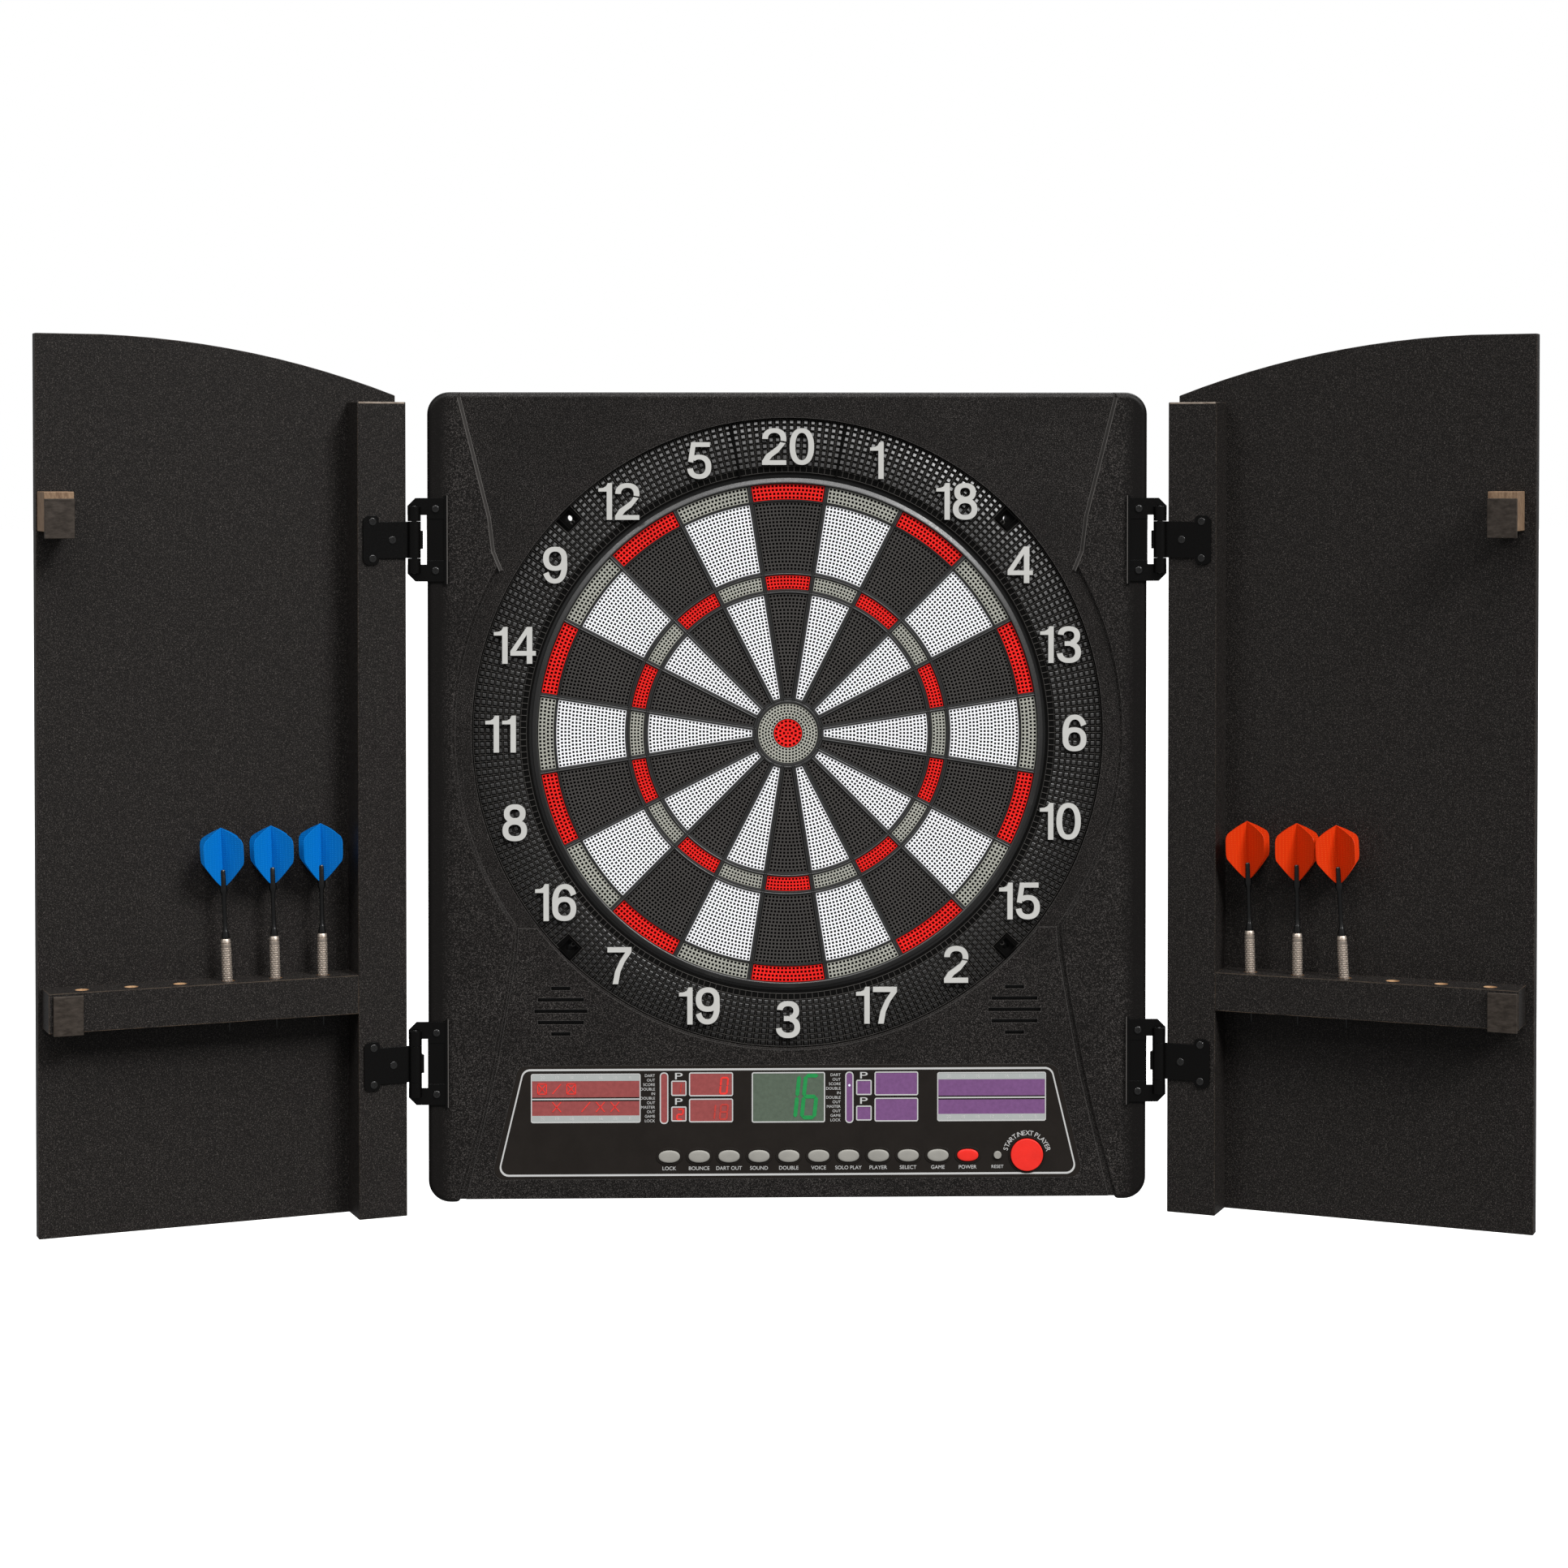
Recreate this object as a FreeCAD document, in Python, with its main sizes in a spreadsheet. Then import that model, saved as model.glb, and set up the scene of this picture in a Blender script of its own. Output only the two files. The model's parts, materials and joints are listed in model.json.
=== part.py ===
"""Dart board cabinet: an electronic dart board in a housing with two hinged doors that hold the darts.

Frame: +X right, the board faces -Y, the wall is the plane y = 0, +Z up. The origin is the centre of the
four wall screw holes, which is the centre of the dart board, on the wall plane. Millimetres.
"""
import FreeCAD, Part
import math
import os

import Sketcher

SIZES = {
    # housing
    "housing_half_width": 277.0,
    "housing_top": 262.7,
    "housing_bottom": -358.8,
    "housing_depth": 50.0,
    "rear_depth": 22.0,
    "rear_inset": 0.8,
    "corner_radius": 17.0,
    "edge_round": 4.5,
    "wall": 2.5,
    "front_wall": 3.0,
    "rail_rise": 2.5,
    "rail_slope": 2.2,
    "rail_drop": 2.5,
    "rail_circle": 256.0,
    "field_top_half": 251.3,
    "console_rise": 1.0,
    "console_circle": 244.6,
    "ledge_outer": 249.0,
    "ledge_inner": 228.0,
    "ledge_thick": 5.0,
    "rebate_depth": 5.2,
    # fixings of the housing
    "boss_radius": 4.5,
    "boss_column": 266.0,
    "shell_screw_radius": 1.5,
    "shell_screw_length": 28.0,
    "shell_bore_depth": 12.0,
    "shell_head_radius": 3.0,
    "shell_head_height": 2.0,
    "shell_head_depth": 6.0,
    "mount_half_x": 168.5,
    "mount_half_z": 165.5,
    "mount_hole_radius": 2.5,
    "mount_tube_radius": 6.0,
    # target
    "catch_outer": 243.0,
    "catch_inner": 199.5,
    "catch_thick": 4.6,
    "catch_dish": 1.5,
    "rim_outer": 196.5,
    "rim_inner": 192.6,
    "double_outer": 192.2,
    "double_inner": 180.4,
    "single_outer": 178.3,
    "single_inner": 125.6,
    "triple_outer": 121.7,
    "triple_inner": 111.5,
    "inner_single_outer": 107.6,
    "inner_single_inner": 27.7,
    "outer_bull_outer": 22.9,
    "outer_bull_inner": 11.4,
    "inner_bull_outer": 10.8,
    "radial_web": 3.0,
    "segment_gap": 0.4,
    "spider_front": 46.0,
    "spider_depth": 11.7,
    "flange_outer": 226.0,
    "flange_thick": 8.0,
    "segment_front": 45.2,
    "segment_depth": 9.6,
    "sheet_thick": 1.0,
    "matrix_thick": 0.5,
    "backing_thick": 3.0,
    "backing_half": 205.0,
    "backing_corner": 90.0,
    "post_near": 90.0,
    "post_far": 190.0,
    "post_radius": 5.0,
    # control panel
    "panel_top": -256.3,
    "panel_bottom": -343.7,
    "panel_top_half": 207.5,
    "panel_bottom_half": 228.5,
    "panel_radius": 8.0,
    "panel_thick": 1.1,
    "panel_recess": 1.0,
    "button_row": -326.5,
    "button_pitch": 23.05,
    "button_first": -91.6,
    "button_length": 16.0,
    "button_height": 9.0,
    "button_proud": 1.7,
    "button_clearance": 0.3,
    "button_lip": 1.2,
    "lip_thick": 1.2,
    "reset_place": 162.0,
    "reset_radius": 3.0,
    "start_place": 184.7,
    "start_radius": 12.5,
    "mat_thick": 1.0,
    "board_thick": 1.6,
    "main_board_front": 12.0,
    "jack_place": -150.0,
    "jack_depth": 11.0,
    "jack_size": 11.0,
    "jack_height": 13.0,
    "jack_nose_radius": 4.2,
    "jack_bore_radius": 2.8,
    # speakers
    "speaker_place": 175.0,
    "speaker_height": -213.8,
    "grille_radius": 20.5,
    "slot_height": 3.0,
    "slot_pitch": 8.8,
    "driver_radius": 25.0,
    "driver_rim": 3.0,
    "basket_depth": 8.0,
    "magnet_radius": 16.0,
    "magnet_height": 7.0,
    # doors
    "hinge_axis_x": 286.5,
    "hinge_axis_y": -52.0,
    "left_open": 21.0,
    "right_open": 24.0,
    "door_edge": 6.0,
    "door_width": 275.0,
    "door_bottom": -370.5,
    "door_top": 305.0,
    "arch_start": 251.5,
    "arch_radius": 700.0,
    "panel_board": 12.0,
    "post_width": 38.0,
    "post_top": 255.0,
    "frame_depth": 30.0,
    "leaf_gap": 2.0,
    "rack_top": -182.7,
    "rack_height": 29.3,
    "rack_hole_radius": 5.1,
    "rack_hole_depth": 12.7,
    "rack_tip_radius": 3.2,
    "rack_first_hole": 68.4,
    "rack_pitch": 36.6,
    "rack_hole_back": 13.2,
    "left_rack_end": 278.0,
    "right_rack_end": 274.5,
    "pad_width": 22.0,
    "pad_height": 29.4,
    "pad_thick": 3.0,
    "pad_drop": 5.0,
    "lower_pad_drop": 1.9,
    "left_pad_edge": 275.0,
    "right_pad_edge": 274.0,
    "block_top": 187.3,
    "left_block_edge": 280.0,
    "right_block_edge": 272.3,
    # hinges
    "upper_hinge": 149.5,
    "lower_hinge": -253.2,
    "hinge_leaf_thick": 1.6,
    "frame_leaf_half": 32.0,
    "frame_leaf_inner": 15.4,
    "arm_reach": 14.7,
    "arm_height": 13.0,
    "arm_chamfer": 6.0,
    "barrel_radius": 5.0,
    "barrel_half": 25.5,
    "knuckle_half": 14.0,
    "knuckle_gap": 0.3,
    "pin_radius": 2.0,
    "pin_clearance": 0.05,
    "door_leaf_length": 40.0,
    "door_leaf_half": 13.9,
    "door_leaf_wide_half": 18.7,
    "door_leaf_wide_length": 12.2,
    "hinge_screw_radius": 1.7,
    "frame_screw_inset": 6.8,
    "frame_screw_rise": 23.7,
    # darts
    "barrel_length": 44.5,
    "dart_barrel_radius": 3.9,
    "tip_length": 26.0,
    "shaft_end": 80.0,
    "fork_end": 96.8,
    "flight_start": 82.6,
    "flight_height": 46.0,
    "flight_reach": 20.8,
    "flight_thick": 0.5,
    "flight_turn": 38.0,
}

# inner edge of the right side rail, from the top down
RAIL_EDGE = (
    (252.8, "sizes.housing_top + 1"),
    (228.6, "166.9"),
    (225.5, "140.8"),
    (219.5, "126"),
    (211.0, "0"),
    (208.9, "-144.5"),
    (210.5, "-167.1"),
    (217.0, "-208"),
    (226.5, "-257.2"),
    (236.4, "-301.5"),
    (253.5, "sizes.housing_bottom - 3.5"),
)
# inner end of the right rail's foot, from the console's bottom down to below the rail
RAIL_FOOT = (
    (252.5, "sizes.housing_bottom"),
    (253.4, "sizes.housing_bottom - 1.1"),
    (255.0, "sizes.housing_bottom - 2.0"),
    (257.8, "sizes.housing_bottom - sizes.rail_drop"),
    (257.8, "sizes.housing_bottom - sizes.rail_drop - 1"),
)
# right edge of the console, from the target down
CONSOLE_EDGE = (
    (207.5, "-150"),
    (208.5, "-168"),
    (224.0, "-257"),
    (234.0, "-301"),
    (248.0, "sizes.housing_bottom"),
)
# rows of screws that join the two housing shells, as heights
SHELL_SCREW_ROWS = (238.0, 80.0, -80.0, -236.0, -344.0)
# windows of the control panel: name, left, right, bottom, top
WINDOWS = (
    ("left_marks", -198.1, -113.7, -300.2, -262.2),
    ("left_mode", -98.9, -92.3, -301.3, -261.4),
    ("left_player_one", -90.1, -78.3, -279.6, -267.8),
    ("left_player_two", -90.1, -78.3, -299.4, -287.8),
    ("left_score_one", -76.4, -42.4, -280.0, -261.5),
    ("left_score_two", -76.4, -42.4, -300.2, -281.8),
    ("centre_count", -28.0, 28.6, -300.6, -261.6),
    ("right_mode", 44.2, 50.6, -301.3, -261.4),
    ("right_player_one", 52.6, 64.6, -279.6, -267.8),
    ("right_player_two", 52.6, 64.6, -299.4, -287.8),
    ("right_score_one", 66.8, 100.6, -280.0, -261.5),
    ("right_score_two", 66.8, 100.6, -300.2, -281.8),
    ("right_marks", 115.3, 199.5, -300.2, -262.2),
)
# light openings behind the windows: left, right, bottom, top
LIGHT_OPENINGS = (
    (-196.0, -116.0, -298.0, -264.0),
    (-97.0, -44.5, -298.0, -264.0),
    (-26.0, 26.6, -298.0, -264.0),
    (46.0, 98.6, -298.0, -264.0),
    (117.5, 197.4, -298.0, -264.0),
)
# oval buttons from left to right
OVAL_BUTTONS = (
    "guard_button",
    "bounce_out_button",
    "dart_out_button",
    "sound_button",
    "miss_button",
    "voice_button",
    "solo_button",
    "player_button",
    "select_button",
    "game_button",
    "power_button",
)
# stored darts: hole of the rack, counted from the post, and lean to the left in degrees on each door
DARTS = (("inner", 0, 0.8, 1.4), ("middle", 1, 1.6, 0.4), ("outer", 2, 2.4, 3.2))

doc = FreeCAD.newDocument("dart_board_cabinet")
sheet = doc.addObject("Spreadsheet::Sheet", "sizes")
for row, (alias, number) in enumerate(SIZES.items(), start=1):
    sheet.set("A%d" % row, alias)
    sheet.set("B%d" % row, str(number))
    sheet.setAlias("B%d" % row, alias)
doc.recompute()

sub_parts = []
ZAXIS = FreeCAD.Vector(0, 0, 1)
YAXIS = FreeCAD.Vector(0, 1, 0)


def value(text):
    """The number that an expression on the sheet gives."""
    result = sheet.evalExpression(text)
    return float(getattr(result, "Value", result))


def cell(alias):
    """The number in a cell, by its alias."""
    return float(sheet.get(alias))


def keep(thing, name):
    """Names an object as a sub-part that is written out."""
    thing.Label = name
    sub_parts.append(thing)
    return thing


# ---------------------------------------------------------------- sketches and features


def make_body(name):
    return doc.addObject("PartDesign::Body", name)


def sketch_on(body, role, name, height="0"):
    """A sketch on one of the body's own origin planes, moved along the plane's normal by an expression."""
    plane = next(item for item in body.Origin.OriginFeatures if item.Role == role)
    sketch = body.newObject("Sketcher::SketchObject", name)
    sketch.AttachmentSupport = (plane, [""])
    sketch.MapMode = "FlatFace"
    sketch.setExpression("AttachmentOffset.Base.z", height)
    return sketch


def bind(sketch, constraint, text):
    """Adds a constraint whose datum follows an expression."""
    index = sketch.addConstraint(constraint)
    sketch.setExpression("Constraints[%d]" % index, text)


def place_point(sketch, geometry, point, across, up):
    bind(sketch, Sketcher.Constraint("DistanceX", -1, 1, geometry, point, value(across)), across)
    bind(sketch, Sketcher.Constraint("DistanceY", -1, 1, geometry, point, value(up)), up)


def add_polygon(sketch, corners):
    """A closed polygon, each corner held by two expressions."""
    first = sketch.GeometryCount
    count = len(corners)
    points = [FreeCAD.Vector(value(across), value(up), 0) for across, up in corners]
    for index in range(count):
        sketch.addGeometry(Part.LineSegment(points[index], points[(index + 1) % count]), False)
    for index in range(count):
        following = first + (index + 1) % count
        sketch.addConstraint(Sketcher.Constraint("Coincident", first + index, 2, following, 1))
    for index, (across, up) in enumerate(corners):
        place_point(sketch, first + index, 1, across, up)


def add_rectangle(sketch, left, right, bottom, top):
    add_polygon(sketch, ((left, bottom), (right, bottom), (right, top), (left, top)))


def add_circle(sketch, across, up, radius):
    centre = FreeCAD.Vector(value(across), value(up), 0)
    index = sketch.addGeometry(Part.Circle(centre, ZAXIS, value(radius)), False)
    place_point(sketch, index, 3, across, up)
    bind(sketch, Sketcher.Constraint("Radius", index, value(radius)), radius)


def add_slot(sketch, across, up, length, height):
    """A slot with round ends, lying along the sketch's own horizontal."""
    radius = "(%s) / 2" % height
    half = "((%s) - (%s)) / 2" % (length, height)
    left, right = "%s - %s" % (across, half), "%s + %s" % (across, half)
    level, reach = value(up), value(radius)
    west = FreeCAD.Vector(value(left), level, 0)
    east = FreeCAD.Vector(value(right), level, 0)
    rise = FreeCAD.Vector(0, reach, 0)
    quarter = math.pi / 2
    end_west = sketch.addGeometry(Part.ArcOfCircle(Part.Circle(west, ZAXIS, reach), quarter, 3 * quarter))
    floor = sketch.addGeometry(Part.LineSegment(west - rise, east - rise))
    end_east = sketch.addGeometry(Part.ArcOfCircle(Part.Circle(east, ZAXIS, reach), -quarter, quarter))
    roof = sketch.addGeometry(Part.LineSegment(east + rise, west + rise))
    ring = (end_west, floor, end_east, roof)
    for index in range(4):
        sketch.addConstraint(Sketcher.Constraint("Tangent", ring[index], 2, ring[(index + 1) % 4], 1))
    place_point(sketch, end_west, 3, left, up)
    place_point(sketch, end_east, 3, right, up)
    bind(sketch, Sketcher.Constraint("Radius", end_west, reach), radius)
    sketch.addConstraint(Sketcher.Constraint("Horizontal", floor))


def pad(body, sketch, name, length):
    """Adds material along the sketch's normal."""
    feature = body.newObject("PartDesign::Pad", name)
    feature.Profile = sketch
    feature.setExpression("Length", length)
    sketch.Visibility = False
    return feature


def pocket(body, sketch, name, length, forward=False):
    """Removes material against the sketch's normal, or along it when forward, and checks that it did."""
    doc.recompute()
    before = body.Shape.Volume
    feature = body.newObject("PartDesign::Pocket", name)
    feature.Profile = sketch
    feature.Reversed = forward
    feature.setExpression("Length", length)
    sketch.Visibility = False
    doc.recompute()
    if body.Shape.Volume > before - 0.01:
        raise RuntimeError("pocket %s removes nothing" % name)
    return feature


def edge_names(shape, wanted):
    """The names of the edges that a test picks by their middle point and direction."""
    names = []
    for index, edge in enumerate(shape.Edges, start=1):
        first, last = edge.Vertexes[0].Point, edge.Vertexes[-1].Point
        if wanted((first + last) * 0.5, last - first):
            names.append("Edge%d" % index)
    if not names:
        raise RuntimeError("no edge fits the test")
    return names


def along_y(run):
    return abs(run.y) > 0.5 and abs(run.x) < 0.01 and abs(run.z) < 0.01


def dress(body, kind, name, wanted, size_name, size):
    """A fillet or a chamfer on picked edges of the body's tip."""
    doc.recompute()
    tip = body.Tip
    feature = body.newObject("PartDesign::" + kind, name)
    feature.Base = (tip, edge_names(tip.Shape, wanted))
    feature.setExpression(size_name, size)
    return feature


def set_depth(thing, text):
    """Places a body's sketch plane by an expression for its y."""
    thing.setExpression("Placement.Base.y", text)


# ---------------------------------------------------------------- plain solids


def box(name, across, depth, height, corner):
    """A Part::Box whose three lengths and corner are expressions."""
    item = doc.addObject("Part::Box", name)
    for prop, text in zip(("Length", "Width", "Height"), (across, depth, height)):
        item.setExpression(prop, text)
    for axis, text in zip("xyz", corner):
        item.setExpression("Placement.Base." + axis, text)
    return item


def cylinder(name, radius, length, base, direction=ZAXIS):
    """A Part::Cylinder from its base point along a direction."""
    item = doc.addObject("Part::Cylinder", name)
    item.setExpression("Radius", radius)
    item.setExpression("Height", length)
    item.Placement = FreeCAD.Placement(FreeCAD.Vector(0, 0, 0), FreeCAD.Rotation(ZAXIS, direction))
    for axis, text in zip("xyz", base):
        item.setExpression("Placement.Base." + axis, text)
    return item


def fuse(name, pieces):
    item = doc.addObject("Part::MultiFuse", name)
    item.Shapes = pieces
    return item


def cut(name, base, tool):
    item = doc.addObject("Part::Cut", name)
    item.Base = base
    item.Tool = tool
    return item


def group(name, pieces):
    """Separate solids that share one node."""
    item = doc.addObject("Part::Compound", name)
    item.Links = pieces
    return keep(item, name)


def shaped(name, shape, placement=None):
    """A Part::Feature with a worked-out shape, placed after its shape is set."""
    item = doc.addObject("Part::Feature", name)
    item.Shape = shape
    if placement is not None:
        item.Placement = placement
    return item


# ---------------------------------------------------------------- housing

MOUNT_POINTS = []
SCREW_POINTS = []
for side in (-1, 1):
    for level in (-1, 1):
        MOUNT_POINTS.append(("%d * sizes.mount_half_x" % side, "%d * sizes.mount_half_z" % level))
    for level in SHELL_SCREW_ROWS:
        SCREW_POINTS.append(("%d * sizes.boss_column" % side, str(level)))


def mirrored(edge):
    """An outline between a right-hand edge and the same edge on the left."""
    left_edge = [(str(-across), up) for across, up in edge]
    right_edge = [(str(across), up) for across, up in reversed(edge)]
    return left_edge + right_edge


def panel_outline(margin):
    """The control panel's trapezoid, larger by a margin."""
    low, high = "sizes.panel_bottom - %s" % margin, "sizes.panel_top + %s" % margin
    return [
        ("-sizes.panel_bottom_half - %s" % margin, low),
        ("sizes.panel_bottom_half + %s" % margin, low),
        ("sizes.panel_top_half + %s" % margin, high),
        ("-sizes.panel_top_half - %s" % margin, high),
    ]


def add_button_holes(sketch):
    clear = "2 * sizes.button_clearance"
    for index in range(len(OVAL_BUTTONS)):
        across = "sizes.button_first + %d * sizes.button_pitch" % index
        length, height = "sizes.button_length + " + clear, "sizes.button_height + " + clear
        add_slot(sketch, across, "sizes.button_row", length, height)
    for name in ("reset", "start"):
        radius = "sizes.%s_radius + sizes.button_clearance" % name
        add_circle(sketch, "sizes.%s_place" % name, "sizes.button_row", radius)


def speaker_slots():
    """The grille slots as height from the middle and half length; each ends on the grille's circle."""
    slots = []
    radius = cell("grille_radius")
    for step in range(-2, 3):
        level = step * cell("slot_pitch")
        edge = min(abs(level) + cell("slot_height") / 2, radius - 1.2)
        slots.append((level, math.sqrt(radius**2 - edge**2)))
    return slots


def add_edge_waste(sketch, up, depth, radius):
    """What rounding takes off a front top edge, drawn on the YZ plane."""
    front, top, size = -value(depth), value(up), value(radius)
    centre = FreeCAD.Vector(front + size, top - size, 0)
    low = FreeCAD.Vector(front, top - size, 0)
    corner = FreeCAD.Vector(front, top, 0)
    far = FreeCAD.Vector(front + size, top, 0)
    arc = sketch.addGeometry(Part.ArcOfCircle(Part.Circle(centre, ZAXIS, size), math.pi / 2, math.pi))
    side = sketch.addGeometry(Part.LineSegment(low, corner))
    roof = sketch.addGeometry(Part.LineSegment(corner, far))
    for first, second in ((arc, side), (side, roof), (roof, arc)):
        sketch.addConstraint(Sketcher.Constraint("Coincident", first, 2, second, 1))
    place_point(sketch, side, 1, "-(%s)" % depth, "%s - %s" % (up, radius))
    place_point(sketch, side, 2, "-(%s)" % depth, up)
    place_point(sketch, roof, 2, "%s - (%s)" % (radius, depth), up)
    bind(sketch, Sketcher.Constraint("Radius", arc, size), radius)


def housing_envelope():
    """A block with rounded corners and a rounded front rim, which trims the front shell."""
    body = make_body("housing_envelope_body")
    set_depth(body, "-sizes.rear_depth")
    half, low = "sizes.housing_half_width", "sizes.housing_bottom - sizes.rail_drop"
    sketch = sketch_on(body, "XZ_Plane", "envelope_outline")
    add_rectangle(sketch, "-" + half, half, low, "sizes.housing_top")
    pad(body, sketch, "envelope_block", "sizes.housing_depth - sizes.rear_depth")
    face_y = -(cell("housing_depth") - cell("rear_depth"))

    def at_corner(middle, run):
        return along_y(run)

    def at_rim(middle, run):
        return abs(middle.y - face_y) < 0.01 and abs(run.y) < 0.01

    dress(body, "Fillet", "envelope_corners", at_corner, "Radius", "sizes.corner_radius")
    dress(body, "Fillet", "envelope_rim", at_rim, "Radius", "sizes.edge_round")
    return body


def front_housing():
    """The front shell: side walls, face, rails, round rebate for the target, console and its openings."""
    body = make_body("front_housing_body")
    set_depth(body, "-sizes.rear_depth")
    field = "sizes.housing_depth - sizes.rear_depth - sizes.rail_rise"
    half, low, high = "sizes.housing_half_width", "sizes.housing_bottom", "sizes.housing_top"

    sketch = sketch_on(body, "XZ_Plane", "housing_outline")
    add_rectangle(sketch, "-" + half, half, low + " - sizes.rail_drop", high)
    pad(body, sketch, "housing_block", "sizes.housing_depth - sizes.rear_depth")
    sketch = sketch_on(body, "XZ_Plane", "field_outline", "sizes.housing_depth - sizes.rear_depth")
    add_polygon(sketch, mirrored(RAIL_EDGE))
    pocket(body, sketch, "field", "sizes.rail_rise")
    sketch = sketch_on(body, "XZ_Plane", "rail_circle_outline", "sizes.housing_depth - sizes.rear_depth")
    add_circle(sketch, "0", "0", "sizes.rail_circle")
    pocket(body, sketch, "rail_hollow", "sizes.rail_rise")

    face_y = -(cell("housing_depth") - cell("rear_depth"))

    def rail_inner_edge(middle, run):
        on_face = abs(middle.y - face_y) < 0.01 and abs(run.y) < 0.01
        return on_face and 200 < abs(middle.x) < 262 and abs(run.z) > 5

    dress(body, "Chamfer", "rail_slopes", rail_inner_edge, "Size", "sizes.rail_slope")
    sketch = sketch_on(body, "XZ_Plane", "rail_foot_outline")
    add_polygon(sketch, mirrored(RAIL_FOOT))
    pocket(body, sketch, "rail_feet", "sizes.housing_depth", forward=True)
    sketch = sketch_on(body, "YZ_Plane", "field_top_outline")
    add_edge_waste(sketch, high, field, "sizes.edge_round")
    rounding = pocket(body, sketch, "field_top_edge", "2 * sizes.field_top_half")
    rounding.Midplane = True

    sketch = sketch_on(body, "XZ_Plane", "console_outline", field)
    add_polygon(sketch, mirrored(CONSOLE_EDGE))
    pad(body, sketch, "console", "sizes.console_rise")
    console = field + " + sizes.console_rise"
    sketch = sketch_on(body, "XZ_Plane", "console_circle_outline", console)
    add_circle(sketch, "0", "0", "sizes.console_circle")
    pocket(body, sketch, "console_hollow", "sizes.console_rise")

    inner = "%s - sizes.wall" % half
    sketch = sketch_on(body, "XZ_Plane", "inside_outline")
    add_rectangle(sketch, "-(%s)" % inner, inner, low + " + sizes.wall", high + " - sizes.wall")
    pocket(body, sketch, "inside", field + " - sizes.front_wall", forward=True)
    inner_x = cell("housing_half_width") - cell("wall")

    def inside_corner(middle, run):
        return along_y(run) and abs(abs(middle.x) - inner_x) < 0.1

    dress(body, "Fillet", "inside_corners", inside_corner, "Radius", "sizes.corner_radius - sizes.wall")

    sketch = sketch_on(body, "XZ_Plane", "ledge_outline", field + " - sizes.front_wall - sizes.ledge_thick")
    add_circle(sketch, "0", "0", "sizes.ledge_outer")
    add_circle(sketch, "0", "0", "sizes.ledge_inner")
    pad(body, sketch, "ledge", "sizes.ledge_thick + 0.5")
    sketch = sketch_on(body, "XZ_Plane", "rebate_outline", field)
    add_circle(sketch, "0", "0", "sizes.catch_outer + 0.3")
    pocket(body, sketch, "rebate", "sizes.rebate_depth")

    sketch = sketch_on(body, "XZ_Plane", "boss_outline", "0.3")
    for across, up in SCREW_POINTS:
        add_circle(sketch, across, up, "sizes.boss_radius")
    pad(body, sketch, "bosses", field + " - sizes.front_wall")
    sketch = sketch_on(body, "XZ_Plane", "boss_bore_outline")
    for across, up in SCREW_POINTS:
        add_circle(sketch, across, up, "sizes.shell_screw_radius")
    pocket(body, sketch, "boss_bores", "sizes.shell_bore_depth", forward=True)

    sketch = sketch_on(body, "XZ_Plane", "mount_hole_outline", field)
    for across, up in MOUNT_POINTS:
        add_circle(sketch, across, up, "sizes.mount_hole_radius")
    pocket(body, sketch, "mount_holes", "20")

    sketch = sketch_on(body, "XZ_Plane", "panel_recess_outline", console)
    add_polygon(sketch, panel_outline("0.2"))
    pocket(body, sketch, "panel_recess", "sizes.panel_recess")

    def recess_corner(middle, run):
        inside = abs(middle.x) < cell("panel_bottom_half") + 1 and middle.z < cell("panel_top") + 1
        return along_y(run) and inside and abs(run.y) < 1.2 and middle.z > cell("panel_bottom") - 1

    dress(body, "Fillet", "panel_recess_corners", recess_corner, "Radius", "sizes.panel_radius")

    sketch = sketch_on(body, "XZ_Plane", "console_opening_outline", console)
    for left, right, bottom, top in LIGHT_OPENINGS:
        add_rectangle(sketch, str(left), str(right), str(bottom), str(top))
    add_button_holes(sketch)
    for side in (-1, 1):
        for level, reach in speaker_slots():
            middle = "%d * sizes.speaker_place" % side
            height = "sizes.speaker_height + %.3f" % level
            sides = ("%s - %.3f" % (middle, reach), "%s + %.3f" % (middle, reach))
            edges = (height + " - sizes.slot_height / 2", height + " + sizes.slot_height / 2")
            add_rectangle(sketch, sides[0], sides[1], edges[0], edges[1])
    pocket(body, sketch, "console_openings", "8")
    item = doc.addObject("Part::Common", "front_shell")
    item.Base = body
    item.Tool = housing_envelope()
    return keep(item, "front_housing")


def board_post_points():
    """One post behind the bull and two near each side of the backing board."""
    points = [("0", "0")]
    for side in (-1, 1):
        for level in (-1, 1):
            points.append(("%d * sizes.post_far" % side, "%d * sizes.post_near" % level))
            points.append(("%d * sizes.post_near" % side, "%d * sizes.post_far" % level))
    return points


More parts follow.
